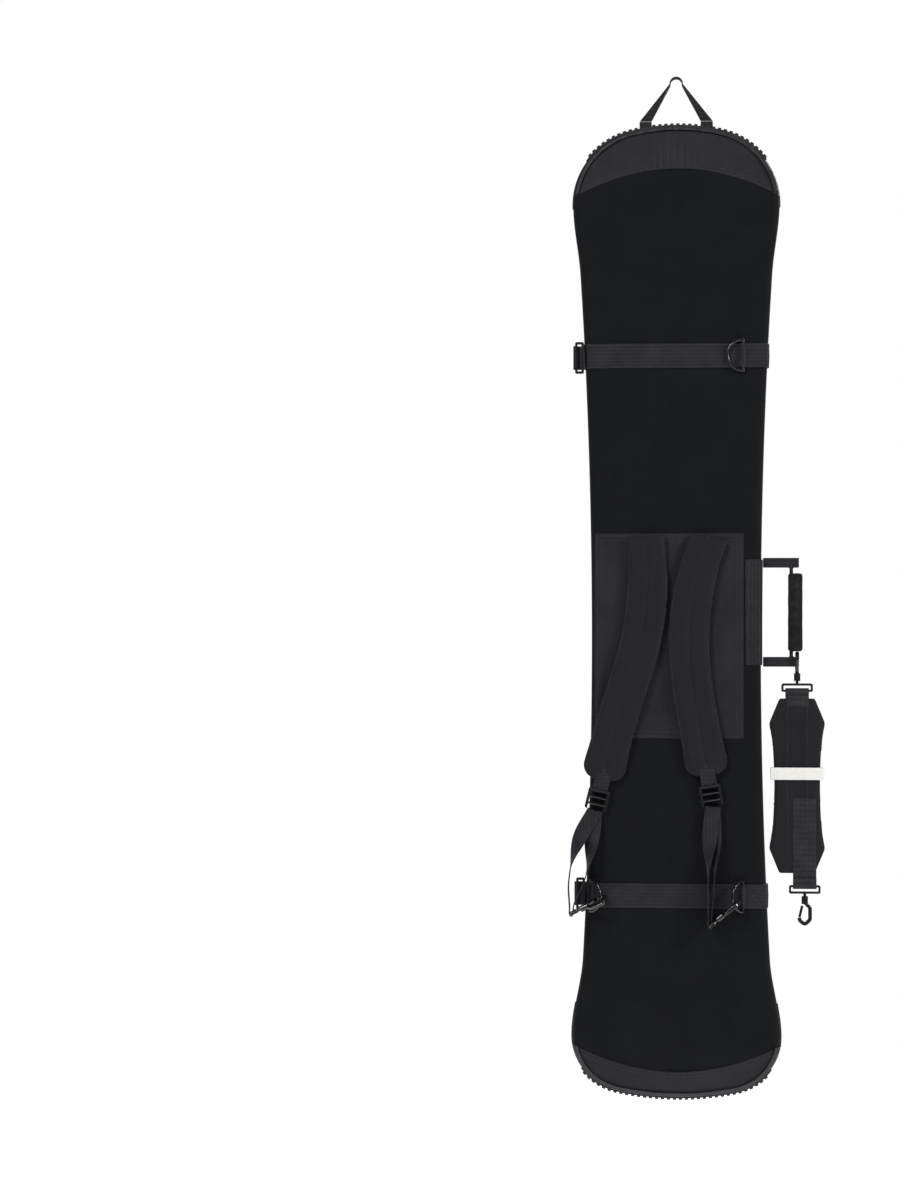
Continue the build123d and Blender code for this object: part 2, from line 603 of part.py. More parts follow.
def lock_frame(line):
    """Frame of the ladder lock below a pad: origin on its top bar, y back up the pad."""
    (x0, s0), (x1, s1) = line[-2], line[-1]
    length = sqrt((x1 - x0)**2 + (s1 - s0)**2)
    down = Vector((x1 - x0) / length, 0, -(s1 - s0) / length)
    origin = Vector(x1, PAD_Y + PAD_THICKNESS / 2, z_at(s1)) + down * LOCK_REACH
    return Plane(origin=origin, x_dir=(down.Z, 0, -down.X), z_dir=(0, 1, 0)), down


def pad_tab(line):
    """Webbing patch on a pad's end, with the loop that carries the lock's top bar."""
    frame, down = lock_frame(line)
    start = PAD_END_PATCH + LOCK_REACH
    wide = HARNESS_WEBBING_WIDTH
    half = PAD_THICKNESS / 2
    patch_face = Pos(0, start / 2 + LOCK_BAR) * Rectangle(wide, start - LOCK_BAR)
    front = extrude(frame * patch_face, amount=WEBBING).moved(Location((0, half, 0)))
    bar = frame * (Rot(0, 90, 0) * (Cylinder(LOCK_BAR + 1.6, wide) - Cylinder(LOCK_BAR + CLEAR, wide)))
    neck_face = Pos(0, LOCK_BAR + 4.5) * Rectangle(wide, 7)
    neck = extrude(frame * neck_face, amount=half + WEBBING / 2, both=False)
    return front + neck + bar


def ladder_lock(frame):
    """Ladder lock: a frame with its top bar at the origin and two ribbed bars below."""
    face = Pos(0, -LOCK_HEIGHT / 2 + LOCK_BAR) * RectangleRounded(LOCK_WIDTH, LOCK_HEIGHT, 4)
    inside = LOCK_WIDTH - 9
    slot_top, bar_gap = -LOCK_BAR, (LOCK_HEIGHT - 5 * LOCK_BAR) / 3
    for i in range(3):
        y = slot_top - bar_gap / 2 - i * (bar_gap + LOCK_BAR * 1.5)
        face = face - Pos(0, y) * Rectangle(inside, bar_gap)
    plate = extrude(face, amount=LOCK_PLATE / 2, both=True)
    top_slot = Pos(0, LOCK_BAR + 1) * Box(inside, 2, LOCK_PLATE * 2)
    plate = plate - Pos(0, 0, 0) * Box(inside, 2 * LOCK_BAR, LOCK_PLATE * 2) - top_slot
    bar = Rot(0, 90, 0) * Cylinder(LOCK_BAR, LOCK_WIDTH - 6)
    ribs = [Pos(0, slot_top - bar_gap - LOCK_BAR * 0.75 - i * (bar_gap + LOCK_BAR * 1.5), LOCK_PLATE / 2)
            * Rot(0, 90, 0) * Cylinder(LOCK_BAR * 0.8, inside) for i in range(2)]
    return frame * (plate + bar + ribs)


def harness_webbing(line, eye, bulge):
    """The webbing between a lock and its hook's eye, with both its layers as one plain solid."""
    frame, down = lock_frame(line)
    low = frame.origin + down * (LOCK_HEIGHT - LOCK_BAR + 1.5)
    half = HARNESS_WEBBING_WIDTH / 2
    end = Vector(eye.X, 0, eye.Z)
    across = Vector(-down.Z, 0, down.X)
    left, right = low + across * half, low - across * half
    side = Vector(1, 0, 0) * half * 0.55
    waist = (low + end) * 0.5 + Vector(bulge, 0, 0)
    near = end + Vector(0, 0, 2 * HOOK_WIRE)
    outer = Spline([(left.X, left.Z), (waist.X + half, waist.Z), (near.X + side.X, near.Z)])
    inner = Spline([(right.X, right.Z), (waist.X - half, waist.Z), (near.X - side.X, near.Z)])
    ends = [Line(outer @ 0, inner @ 0), Line(outer @ 1, inner @ 1)]
    y0 = eye.Y - WEBBING
    return sheet(make_face([outer, inner] + ends), y0, y0 + 2 * WEBBING)


# ---- the clip-on shoulder sling, hung from the handle's lower ear ------------------------------------
def sling_places():
    """X, top s of the sling's own hook, and the s of its pad's top."""
    x = -half_width(HANDLE_S) - GRIP_OFFSET - SLING_SHIFT
    ear = ear_places()[1]
    eye = ear + SLING_HOOK_DROP
    return x, ear, eye, eye + SLING_NECK


def sling_top_frame():
    x, ear, eye, _ = sling_places()
    return Plane(origin=(x, BODY_Y, z_at(eye)), x_dir=(0, 0, 1), z_dir=(1, 0, 0))


def sling_bottom_frame():
    x, _, _, pad_top = sling_places()
    s = pad_top + SLING_PAD_LENGTH + SLING_TAIL_DROP
    origin = (x - SLING_TAIL_SHIFT, BODY_Y + SLING_PAD_THICKNESS / 2 + WEBBING * 2, z_at(s))
    return Plane(origin=origin, x_dir=(0, 0, -1), z_dir=(0, 1, 0))


def sling():
    """Pad, webbing and tie of the folded sling; its webbing hangs on the top hook's eye."""
    x, _, eye, pad_top = sling_places()
    bottom = sling_bottom_frame().origin
    half = SLING_PAD_WIDTH / 2
    middle = pad_top + SLING_PAD_LENGTH / 2
    pad_end = pad_top + SLING_PAD_LENGTH
    corners = [(-half, pad_top + 40), (-half * 0.86, middle), (-half, pad_end - 40)]
    left = Spline([(x + dx, z_at(s)) for dx, s in corners])
    right = Spline([(x - dx, z_at(s)) for dx, s in corners])
    end_half = half * 0.62
    arcs = []
    for s, step, end in ((pad_top, 40, 0), (pad_end, -40, 1)):
        arcs += [Line(left @ end, (x - end_half, z_at(s))), Line(right @ end, (x + end_half, z_at(s))),
                 Line((x - end_half, z_at(s)), (x + end_half, z_at(s)))]
    face = make_face([left, right] + arcs)
    y0, y1 = BODY_Y - SLING_PAD_THICKNESS / 2, BODY_Y + SLING_PAD_THICKNESS / 2
    wide = SLING_WEBBING_WIDTH
    tape = slab(x - wide / 2, x + wide / 2, y1, y1 + WEBBING, pad_top - 2, pad_end - 14)
    neck = slab(x - wide / 2, x + wide / 2, BODY_Y - 1, BODY_Y + 1, eye + HOOK_WIRE + 1, pad_top)
    step = slab(x - wide / 2, x + wide / 2, BODY_Y - 1, y1 + WEBBING, pad_top - 4, pad_top)
    fold_x = bottom.X
    fold = slab(fold_x - wide / 2, fold_x + wide / 2, y1 + WEBBING, y1 + 2 * WEBBING, middle + 20,
                -bottom.Z - LOOP_RISE - HOOK_WIRE - 1.5)
    tie_s = middle - SLING_TIE_UP
    clear = WEBBING + 1.2
    tie = slab(x - half * 0.9 - 2, x + half * 0.9 + 2, y0 - clear, y1 + 2 * clear, tie_s - 10, tie_s + 10)
    tie = tie - slab(x - half * 0.9 - 0.2, x + half * 0.9 + 0.2, y0 - 0.2, y1 + WEBBING + 0.2,
                     tie_s - 20, tie_s + 20) - sheet(face, y0, y1)
    return {"sling_pad": sheet(face, y0, y1), "sling_webbing": tape + neck + step + fold,
            "sling_tie": tie}


def build():
    """Every node of the bag, by name."""
    parts = {**shell(), **caps()}
    parts["harness_panel"] = panel(
        fillet(patch(HARNESS_LEFT, HARNESS_RIGHT, HARNESS_TOP_S, HARNESS_BOTTOM_S).vertices(), 6),
        OUTER, OUTER + HARNESS_SHEET)
    rings, tabs = [], []
    for name, s in (("upper", UPPER_STRAP_S), ("lower", LOWER_STRAP_S)):
        across = patch(-REACH, REACH, s - STRAP_WIDTH / 2, s + STRAP_WIDTH / 2) & BODY
        parts[f"{name}_band"] = panel(across, OUTER, BACK)
        parts[f"{name}_strap_base"] = strap_base(s)
        parts[f"{name}_strap_tail"] = strap_tail(s)
        rings += rectangle_ring(s).solids()
        tabs += ring_tab(s).solids()
    parts["strap_rings"] = Compound(children=rings)
    parts["ring_tabs"] = Compound(children=tabs)
    parts["middle_strap"] = middle_strap()
    parts["strap_slider"] = strap_slider()
    parts["handle_base_strip"] = handle_base_strip()
    parts["handle_webbing"] = handle_webbing()
    parts["handle_grip"] = handle_grip()
    parts["grab_loop"] = grab_loop()
    for name, place in d_ring_places().items():
        parts[name] = d_ring(*place)
    parts["d_ring_tabs"] = d_ring_tabs()
    for side, line, bulge, grip, toward, tilt in HARNESS_SIDES:
        frame = hook_frame(f"d_ring_lower_{side}", grip, toward, tilt)
        parts[f"shoulder_pad_{side}"] = shoulder_pad(line)
        parts[f"pad_tab_{side}"] = pad_tab(line)
        parts[f"ladder_lock_{side}"] = ladder_lock(lock_frame(line)[0])
        parts[f"harness_webbing_{side}"] = harness_webbing(line, frame.origin, bulge)
        names = [f"{piece}_{side}" for piece in ("hook_eye", "snap_hook", "hook_gate")]
        parts.update(zip(names, hook_pieces(frame, EYE_WIDTH, 90 - tilt)))
    parts.update(sling())
    for end, frame, turn in (("top", sling_top_frame(), 90), ("bottom", sling_bottom_frame(), 0)):
        names = [f"sling_{piece}_{end}" for piece in ("eye", "hook", "gate")]
        parts.update(zip(names, hook_pieces(frame, SLING_EYE_WIDTH, turn)))
    return parts


if __name__ == "__main__":
    os.makedirs("parts", exist_ok=True)
    for name, piece in build().items():
        solids = piece.solids()
        export_step(solids[0] if len(solids) == 1 else Compound(solids), f"parts/{name}.step")
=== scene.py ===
# %% [markdown]
# # A padded snowboard bag
# The bag is a sleeve of 4 mm neoprene with nylon caps on both ends. Its front is open in an
# hourglass, with straps across it, and its back carries a two-strap harness.
# This lesson dresses the CAD frame of that bag: hard parts keep their CAD shape and get a finish,
# and everything sewn is modelled again as cloth, webbing or padding.

# %% load the frame
import bisect
import json
import math

import bpy
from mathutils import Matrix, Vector, noise
from mathutils.bvhtree import BVHTree
from mathutils.kdtree import KDTree

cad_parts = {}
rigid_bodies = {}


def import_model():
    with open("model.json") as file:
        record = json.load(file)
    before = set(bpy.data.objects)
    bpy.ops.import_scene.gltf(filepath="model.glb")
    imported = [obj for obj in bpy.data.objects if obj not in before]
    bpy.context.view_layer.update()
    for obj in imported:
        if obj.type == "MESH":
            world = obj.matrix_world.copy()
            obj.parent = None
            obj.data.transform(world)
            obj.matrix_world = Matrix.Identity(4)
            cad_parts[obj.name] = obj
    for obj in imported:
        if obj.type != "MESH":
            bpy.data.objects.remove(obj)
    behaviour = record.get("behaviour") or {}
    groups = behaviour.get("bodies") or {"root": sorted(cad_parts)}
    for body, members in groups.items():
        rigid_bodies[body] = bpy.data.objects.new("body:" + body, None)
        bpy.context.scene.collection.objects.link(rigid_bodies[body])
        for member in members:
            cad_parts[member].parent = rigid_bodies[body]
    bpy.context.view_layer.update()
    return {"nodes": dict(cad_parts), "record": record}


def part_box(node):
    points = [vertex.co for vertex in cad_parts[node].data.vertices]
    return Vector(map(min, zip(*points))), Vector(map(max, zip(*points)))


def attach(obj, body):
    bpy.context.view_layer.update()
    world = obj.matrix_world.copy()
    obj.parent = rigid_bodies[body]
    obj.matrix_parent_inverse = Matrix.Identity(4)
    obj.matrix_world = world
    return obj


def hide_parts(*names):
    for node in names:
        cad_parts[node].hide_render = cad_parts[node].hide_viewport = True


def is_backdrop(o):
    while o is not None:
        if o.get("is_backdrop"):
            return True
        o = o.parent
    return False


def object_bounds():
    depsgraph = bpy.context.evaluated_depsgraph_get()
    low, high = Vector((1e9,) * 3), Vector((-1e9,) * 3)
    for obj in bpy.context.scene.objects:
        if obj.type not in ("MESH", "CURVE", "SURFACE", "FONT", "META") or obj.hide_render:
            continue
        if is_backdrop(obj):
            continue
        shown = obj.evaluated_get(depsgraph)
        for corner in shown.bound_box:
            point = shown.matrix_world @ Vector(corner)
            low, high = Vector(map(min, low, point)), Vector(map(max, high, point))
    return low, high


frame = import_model()

MM = 0.001
bpy.ops.object.select_all(action="DESELECT")

# %% [markdown]
# ## The bag's own measures
# A cutter works from the outline of the pattern, so the script does too. These are the sizes of
# the real bag in millimetres: `s` is the distance down from the tip edge, and `x` goes across.
# A dense line of points down one side answers two questions for every piece that comes later:
# how wide is the bag at s, and how far is a point from the edge.

# %% outline
LENGTH = 1600.0
LOOP_RISE = 74.0
EDGE_INSET = 5.0
KICK_LENGTH, KICK_RADIUS = 230.0, 850.0
BODY_Y = KICK_RADIUS - math.sqrt(KICK_RADIUS**2 - KICK_LENGTH**2)
DEPTH = 14.0             # from the middle surface to the neoprene's outer face
EDGE_ROUND = 12.0        # how far in from the edge the sleeve starts to round over
TIP_PINCH, WAIST, TAIL_PINCH = (156.0, 250.0), (137.5, 800.0), (152.0, 1365.0)
WAIST_S = 800.0


def z_at(s):
    return -(LOOP_RISE + s)


def rocker(s, offset):
    """Y at s of a surface `offset` out of the middle one: both ends curve forward."""
    into = max(KICK_LENGTH - s, s - (LENGTH - KICK_LENGTH), 0.0)
    return BODY_Y + math.sqrt((KICK_RADIUS + offset)**2 - into**2) - KICK_RADIUS


def end_line(width, crown, corner, count=700):
    """Points (x, depth) round half of an end, from its middle to its widest place."""
    half = width / 2
    turn = math.asin((half - corner) / (crown - corner))
    centre_x, centre_d = half - corner, crown - (crown - corner) * math.cos(turn)
    points = []
    for i in range(count + 1):
        a = (i / count)**1.3 * math.pi / 2
        if a < turn:
            points.append((crown * math.sin(a), crown * (1 - math.cos(a))))
        else:
            points.append((centre_x + corner * math.sin(a), centre_d - corner * math.cos(a)))
    return points


def arc_x(three, s):
    """x at s on the hollow arc through three (x, s) points."""
    (ax, ay), (bx, by), (cx, cy) = three
    d = 2 * (ax * (by - cy) + bx * (cy - ay) + cx * (ay - by))
    aa, bb, cc = ax**2 + ay**2, bx**2 + by**2, cx**2 + cy**2
    x = (aa * (by - cy) + bb * (cy - ay) + cc * (ay - by)) / d
    y = (aa * (cx - bx) + bb * (ax - cx) + cc * (bx - ax)) / d
    r = math.hypot(ax - x, ay - y)
    return x - math.copysign(math.sqrt(r**2 - (s - y)**2), x)


def eased(start, leave, end, arrive, count=160):
    """Points of a smooth curve between two points with given directions."""
    chord = math.dist(start, end)
    points = []
    for i in range(count + 1):
        t = i / count
        a, b = 2 * t**3 - 3 * t**2 + 1, t**3 - 2 * t**2 + t
        c, d = 3 * t**2 - 2 * t**3, t**3 - t**2
        points.append(tuple(a * start[k] + b * chord * leave[k] + c * end[k] + d * chord * arrive[k]
                            for k in (0, 1)))
    return points


def direction(three, s):
    dx = (arc_x(three, s + 1) - arc_x(three, s - 1)) / 2
    size = math.hypot(dx, 1)
    return dx / size, 1 / size


SIDE = (TIP_PINCH, WAIST, TAIL_PINCH)
tip = [(x, d + EDGE_INSET) for x, d in end_line(336.0, 300.0, 125.0)]
tail = [(x, LENGTH - EDGE_INSET - d) for x, d in end_line(340.0, 460.0, 94.0)]
tip_flare = eased(tip[-1], (0, 1), TIP_PINCH, direction(SIDE, TIP_PINCH[1]))
tail_flare = eased(TAIL_PINCH, direction(SIDE, TAIL_PINCH[1]), tail[-1], (0, 1))
hollow = [(arc_x(SIDE, s), s) for s in range(251, 1365)]
LINE = tip + tip_flare[1:] + hollow + tail_flare + tail[::-1][1:]
LINE_S = [s for _, s in LINE]
RUN = [0.0]
for (ax, ay), (bx, by) in zip(LINE, LINE[1:]):
    RUN.append(RUN[-1] + math.dist((ax, ay), (bx, by)))
print("outline points", len(LINE), "half perimeter mm", round(RUN[-1]))


def half_width(s):
    i = min(max(bisect.bisect_left(LINE_S, s), 1), len(LINE) - 1)
    (ax, ay), (bx, by) = LINE[i - 1], LINE[i]
    t = 0 if by == ay else min(max((s - ay) / (by - ay), 0), 1)
    return ax + (bx - ax) * t


def along_line(run):
    """The outline's point at a distance along it from the tip's middle."""
    i = min(max(bisect.bisect_left(RUN, run), 1), len(LINE) - 1)
    t = min(max((run - RUN[i - 1]) / (RUN[i] - RUN[i - 1]), 0), 1)
    (ax, ay), (bx, by) = LINE[i - 1], LINE[i]
    return ax + (bx - ax) * t, ay + (by - ay) * t


TREE = KDTree(2 * len(LINE))
for i, (x, s) in enumerate(LINE):
    TREE.insert((x, s, 0), i)
    TREE.insert((-x, s, 0), i + len(LINE))
TREE.balance()


def edge_normal(index):
    mirror = -1 if index >= len(LINE) else 1
    i = index % len(LINE)
    (ax, ay), (bx, by) = LINE[max(i - 1, 0)], LINE[min(i + 1, len(LINE) - 1)]
    size = math.hypot(bx - ax, by - ay)
    return mirror * (by - ay) / size, -(bx - ax) / size


# %% [markdown]
# ## A point on the sleeve
# Neoprene folded over a board's edge makes a soft round, not a sharp corner. So a point on the
# skin is found from its distance to the edge: far in, the skin lies flat, and within the last
# centimetre it turns over a quarter round. Very low, slow waves keep the flats from looking
# machined, as foam rubber never lies dead flat.

# %% skin points
def skin(x, s, side, lift=0.0, wave=0.35):
    """The place, in metres, of a point `lift` mm above the sleeve's skin."""
    near, index, gap = TREE.find((x, s, 0))
    nx, ns = edge_normal(index)
    if gap < 2 * EDGE_ROUND:
        gap = max((near.x - x) * nx + (near.y - s) * ns, 0.0)
    turn = math.acos(1 - min(gap, EDGE_ROUND) / EDGE_ROUND)
    rise = DEPTH * math.sin(turn) + lift * math.sin(turn)
    rise += wave * math.sin(turn) * (noise.noise(Vector((x / 70, s / 95, side * 3))) - 0.4)
    out = lift * math.cos(turn)
    x, s = x + nx * out, s + ns * out
    return Vector((x, rocker(s, side * rise), z_at(s))) * MM


def pick(*pieces):
    """Selects only these objects, the last one active."""
    bpy.ops.object.select_all(action="DESELECT")
    for piece in pieces:
        piece.select_set(True)
    bpy.context.view_layer.objects.active = pieces[-1]


def change(piece, kind, **settings):
    """Adds a modifier with its settings and applies it."""
    pick(piece)
    modifier = piece.modifiers.new(kind.title(), kind)
    for name, value in settings.items():
        setattr(modifier, name, value)
    bpy.ops.object.modifier_apply(modifier=modifier.name)


def tidy_faces(piece):
    """Joins points that fell together and turns every face outwards."""
    pick(piece)
    bpy.ops.object.mode_set(mode="EDIT")
    bpy.ops.mesh.select_all(action="SELECT")
    bpy.ops.mesh.remove_doubles(threshold=0.00003)
    bpy.ops.object.mode_set(mode="OBJECT")
    bpy.ops.object.shade_smooth()


def laid_sheet(name, columns, rows, place, thick=0.0, away=-1.0):
    """A grid laid over the bag: place(u, v) gives each point, u and v running from -1 to 1."""
    bpy.ops.object.select_all(action="DESELECT")
    bpy.ops.mesh.primitive_grid_add(x_subdivisions=columns, y_subdivisions=rows, size=2)
    piece = bpy.context.object
    piece.name = name
    for vertex in piece.data.vertices:
        vertex.co = place(vertex.co.x, vertex.co.y)
    tidy_faces(piece)
    if thick:
        change(piece, "SOLIDIFY", thickness=thick * MM, offset=away, use_even_offset=False)
        bpy.ops.object.shade_smooth_by_angle(angle=math.radians(50))
    return piece


def mix(a, b, t):
    return a + (b - a) * t


# %% [markdown]
# ## Finishes
# Every finish starts from the real material and how it was made. Colours are written as the sRGB
# hex values a designer would read off a swatch, and one function turns them linear.

# %% node helpers
def linear(hex_colour):
    values = [int(hex_colour[i:i + 2], 16) / 255 for i in (1, 3, 5)]
    return tuple(v / 12.92 if v <= 0.04045 else ((v + 0.055) / 1.055)**2.4 for v in values) + (1,)


def add(tree, kind, inputs=None, **settings):
    """Adds a node; an input that is a socket is linked, and any other value is set."""
    made = tree.nodes.new("ShaderNode" + kind)
    for name, value in settings.items():
        setattr(made, name, value)
    for name, value in (inputs or {}).items():
        if isinstance(value, bpy.types.NodeSocket):
            tree.links.new(value, made.inputs[name])
        else:
            made.inputs[name].default_value = value
    return made


def new_finish(name, roughness, ior, **principled):
    finish = bpy.data.materials.new(name)
    finish.use_nodes = True
    tree = finish.node_tree
    shader = tree.nodes["Principled BSDF"]
    shader.inputs["Roughness"].default_value = roughness
    shader.inputs["IOR"].default_value = ior
    for socket, value in principled.items():
        shader.inputs[socket.replace("_", " ")].default_value = value
    return finish, tree, shader


def place_of(tree, turn=0.0):
    """Object coordinates, turned about Y so that a weave runs along a slanted strap."""
    here = add(tree, "TexCoord").outputs["Object"]
    if not turn:
        return here
    return add(tree, "Mapping", {"Vector": here, "Rotation": (0, turn, 0)}).outputs["Vector"]


def ribs(tree, place, axis, pitch, warp=0.4):
    """Even ribs with the given pitch in mm; a wave node's own period is 2 pi / 20."""
    return add(tree, "TexWave", {"Vector": place, "Scale": math.pi / 10 / (pitch * MM),
                                 "Distortion": warp, "Detail": 1.0, "Detail Scale": 2.0},
               wave_type="BANDS", bands_direction=axis).outputs["Fac"]


def grain(tree, place, size, detail=3.0):
    return add(tree, "TexNoise", {"Vector": place, "Scale": 1 / (size * MM), "Detail": detail,
                                  "Roughness": 0.6}).outputs["Fac"]


def sum_of(tree, kind, a, b):
    return add(tree, "Math", {0: a, 1: b}, operation=kind).outputs[0]


def between(tree, share, low, high):
    blend = add(tree, "Mix", {"Factor": share}, data_type="RGBA")
    blend.inputs[6].default_value = linear(low)
    blend.inputs[7].default_value = linear(high)
    return blend.outputs[2]


def stretch(tree, value, low, high, to_low=0.0, to_high=1.0):
    return add(tree, "MapRange", {"Value": value, "From Min": low, "From Max": high,
                                  "To Min": to_low, "To Max": to_high}).outputs["Result"]


def raise_by(tree, shader, height, millimetres, strength=1.0, under=None):
    """Joins a height to the shader as bump, over an earlier bump if there is one."""
    inputs = {"Height": height, "Distance": millimetres * MM, "Strength": strength}
    if under:
        inputs["Normal"] = under
    bump = add(tree, "Bump", inputs)
    tree.links.new(bump.outputs["Normal"], shader.inputs["Normal"])
    return bump.outputs["Normal"]


# %% [markdown]
# ### Cloth finishes
# Neoprene is lined with a fine jersey that scatters light softly and shows no shine, only slow
# dents. Nylon oxford has a basket weave with a slight lustre. Webbing is woven in ribs across its
# length. Real threads are 0.3 to 0.8 mm apart, too fine to show from where the bag is seen whole,
# so they are drawn three to four times as coarse.

# %% cloth finishes
def woven(name, dark, light, roughness, along, across, depth, lustre=0.25, turn=0.0, patch=60.0,
          axes=("X", "Z")):
    """Cloth with ribs of two pitches, mottled between two colours."""
    finish, tree, shader = new_finish(name, roughness, 1.46, Specular_IOR_Level=lustre,
                                      Sheen_Weight=0.06, Sheen_Roughness=0.5)
    place = place_of(tree, turn)
    first, second = ribs(tree, place, axes[0], along), ribs(tree, place, axes[1], across)
    weave = sum_of(tree, "MULTIPLY", first, second)
    lint = stretch(tree, grain(tree, place, 5.0, 6.0), 0.35, 0.75)
    shade = stretch(tree, grain(tree, place, patch), 0.3, 0.7)
    share = sum_of(tree, "ADD", sum_of(tree, "MULTIPLY", weave, 0.45),
                   sum_of(tree, "ADD", sum_of(tree, "MULTIPLY", lint, 0.25),
                          sum_of(tree, "MULTIPLY", shade, 0.35)))
    tree.links.new(between(tree, share, dark, light), shader.inputs["Base Color"])
    slow = raise_by(tree, shader, grain(tree, place, 45.0, 2.0), 2.2, 0.55)
    raise_by(tree, shader, weave, depth, 0.8, under=slow)
    tree.links.new(stretch(tree, lint, 0, 1, roughness - 0.08, min(roughness + 0.1, 1)),
                   shader.inputs["Roughness"])
    return finish


NEOPRENE = woven("neoprene with jersey lining", "#08090c", "#131418", 0.8, 3.4, 3.4, 0.10, 0.10)
OXFORD = woven("coated nylon oxford", "#0f0f14", "#222229", 0.6, 2.6, 2.6, 0.28, 0.22)
WEBBING = woven("polypropylene webbing", "#0f0f13", "#2a2a30", 0.64, 3.0, 6.0, 0.45, 0.2, patch=30)
WEBBING_UP = woven("polypropylene webbing, upright", "#0f0f13", "#2a2a30", 0.64, 6.0, 3.0, 0.45,
                   0.2, patch=30)
SLING_WEB = woven("heavy ribbed webbing", "#101014", "#2f2f35", 0.62, 4.2, 9.0, 0.6, 0.22, patch=30)
LOOP_TAPE = woven("hook-and-loop loop tape", "#0a0a0d", "#202024", 0.9, 2.4, 2.0, 0.5, 0.06,
                  patch=15)
HOOK_TAPE = woven("hook-and-loop hook tape", "#0d0d11", "#1f1f24", 0.5, 5.0, 5.0, 0.3, 0.3,
                  turn=math.radians(45))
PAD_CLOTH = woven("padded nylon", "#0d0d11", "#1e1e23", 0.7, 2.8, 2.8, 0.2, 0.18)
TIE_TAPE = woven("white cotton tape", "#c9c7c2", "#efeeea", 0.8, 3.0, 3.0, 0.3, 0.2)


def moulded(name, dark, light, roughness, ior, pits, depth, **principled):
    """Moulded rubber or plastic: nearly even colour, fine surface grain and rubbed places."""
    finish, tree, shader = new_finish(name, roughness, ior, **principled)
    place = place_of(tree)
    rubbed = stretch(tree, grain(tree, place, 9.0, 4.0), 0.45, 0.75)
    tree.links.new(between(tree, rubbed, dark, light), shader.inputs["Base Color"])
    tree.links.new(stretch(tree, rubbed, 0, 1, roughness, min(roughness * 1.6, 1)),
                   shader.inputs["Roughness"])
    raise_by(tree, shader, grain(tree, place, pits, 2.0), depth, 0.5)
    return finish


RUBBER = moulded("moulded EPDM rubber", "#121214", "#26262a", 0.55, 1.52, 1.2, 0.12,
                 Specular_IOR_Level=0.35)
PIPING = moulded("vinyl piping", "#141416", "#2b2b30", 0.42, 1.54, 2.0, 0.08,
                 Specular_IOR_Level=0.4)
ACETAL = moulded("moulded acetal", "#08080a", "#121215", 0.16, 1.48, 6.0, 0.02, Coat_Weight=0.35,
                 Coat_Roughness=0.08)
ENAMEL = moulded("enamelled steel wire", "#0b0b0d", "#19191c", 0.22, 1.5, 3.0, 0.02,
                 Coat_Weight=0.5, Coat_Roughness=0.1)
FOAM_GRIP = moulded("EVA foam grip", "#131317", "#26262b", 0.82, 1.45, 1.4, 0.25,
                    Specular_IOR_Level=0.18)
THREAD = moulded("bonded nylon thread", "#1b1b20", "#34343a", 0.5, 1.53, 1.0, 0.05)


def dress(piece, finish):
    piece.data.materials.clear()
    piece.data.materials.append(finish)
    for face in piece.data.polygons:
        face.material_index = 0
    return piece


def sewn(piece, finish, slot, body, *nodes):
    """Gives a finished piece its material and its body, and hides the CAD nodes it stands for; slot
    is not used.
    """
    dress(piece, finish)
    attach(piece, body)
    if nodes:
        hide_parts(*nodes)
    print(piece.name, len(piece.data.polygons), "faces")
    return piece


# %% [markdown]
# ## Hard parts
# Moulded and bent-wire parts come out of their tools exactly as drawn, so the CAD shapes stay and
# only get their finish.

# %% hard parts
HARD = {
    RUBBER: ["tip_edge_guard", "tail_edge_guard"],
    PIPING: ["cap_piping"],
    ENAMEL: ["strap_rings", "d_ring_upper", "d_ring_lower_left", "d_ring_lower_right"],
    ACETAL: ["strap_slider", "ladder_lock_left", "ladder_lock_right", "snap_hook_left",
             "snap_hook_right", "hook_eye_left", "hook_eye_right", "hook_gate_left",
             "hook_gate_right", "sling_hook_top", "sling_eye_top", "sling_gate_top",
             "sling_hook_bottom", "sling_eye_bottom", "sling_gate_bottom"],
}
for finish, names in HARD.items():
    for name in names:
        dress(frame["nodes"][name], finish)

# %% [markdown]
# ## The sleeve
# The real sleeve is one neoprene back that wraps round the edges to two front flanges, with a
# pocket over each end. Each panel is a grid whose rows follow the seams, so its edges are crisp
# where the seams are, and solidify gives it its 4 mm.

# %% neoprene back
WALL = 4.0


def back_point(u, v):
    half, s = along_line((v + 1) / 2 * RUN[-1])
    return skin(half * math.sin(u * math.pi / 2), s, 1)


back = laid_sheet("neoprene_back", 110, 260, back_point, thick=WALL)
sewn(back, NEOPRENE, "neoprene", "bag", "back_panel", "gusset_tip", "gusset_tail", "gusset_left",
     "gusset_right")

# %% [markdown]
# The pockets and caps all cover a rounded end as far as a bowed seam. One helper lays such a
# sheet: its columns fan from the outline to the seam, and close rows near the edge keep the round.

# %% end sheets
SEAM_SPAN = 180.0
PLACES = {                       # s of each seam at the bag's edges and at its middle
    "hood": (222.0, 207.0), "pocket": (1349.0, 1350.0),
    "tip_cap_back": (132.0, 78.0), "tip_cap_front": (150.0, 88.0),
    "tail_cap_back": (1500.0, 1551.0), "tail_cap_front": (1428.0, 1486.0),
}


def seam_s(name, x):
    edge, middle = PLACES[name]
    return middle + (edge - middle) * (x / SEAM_SPAN)**2


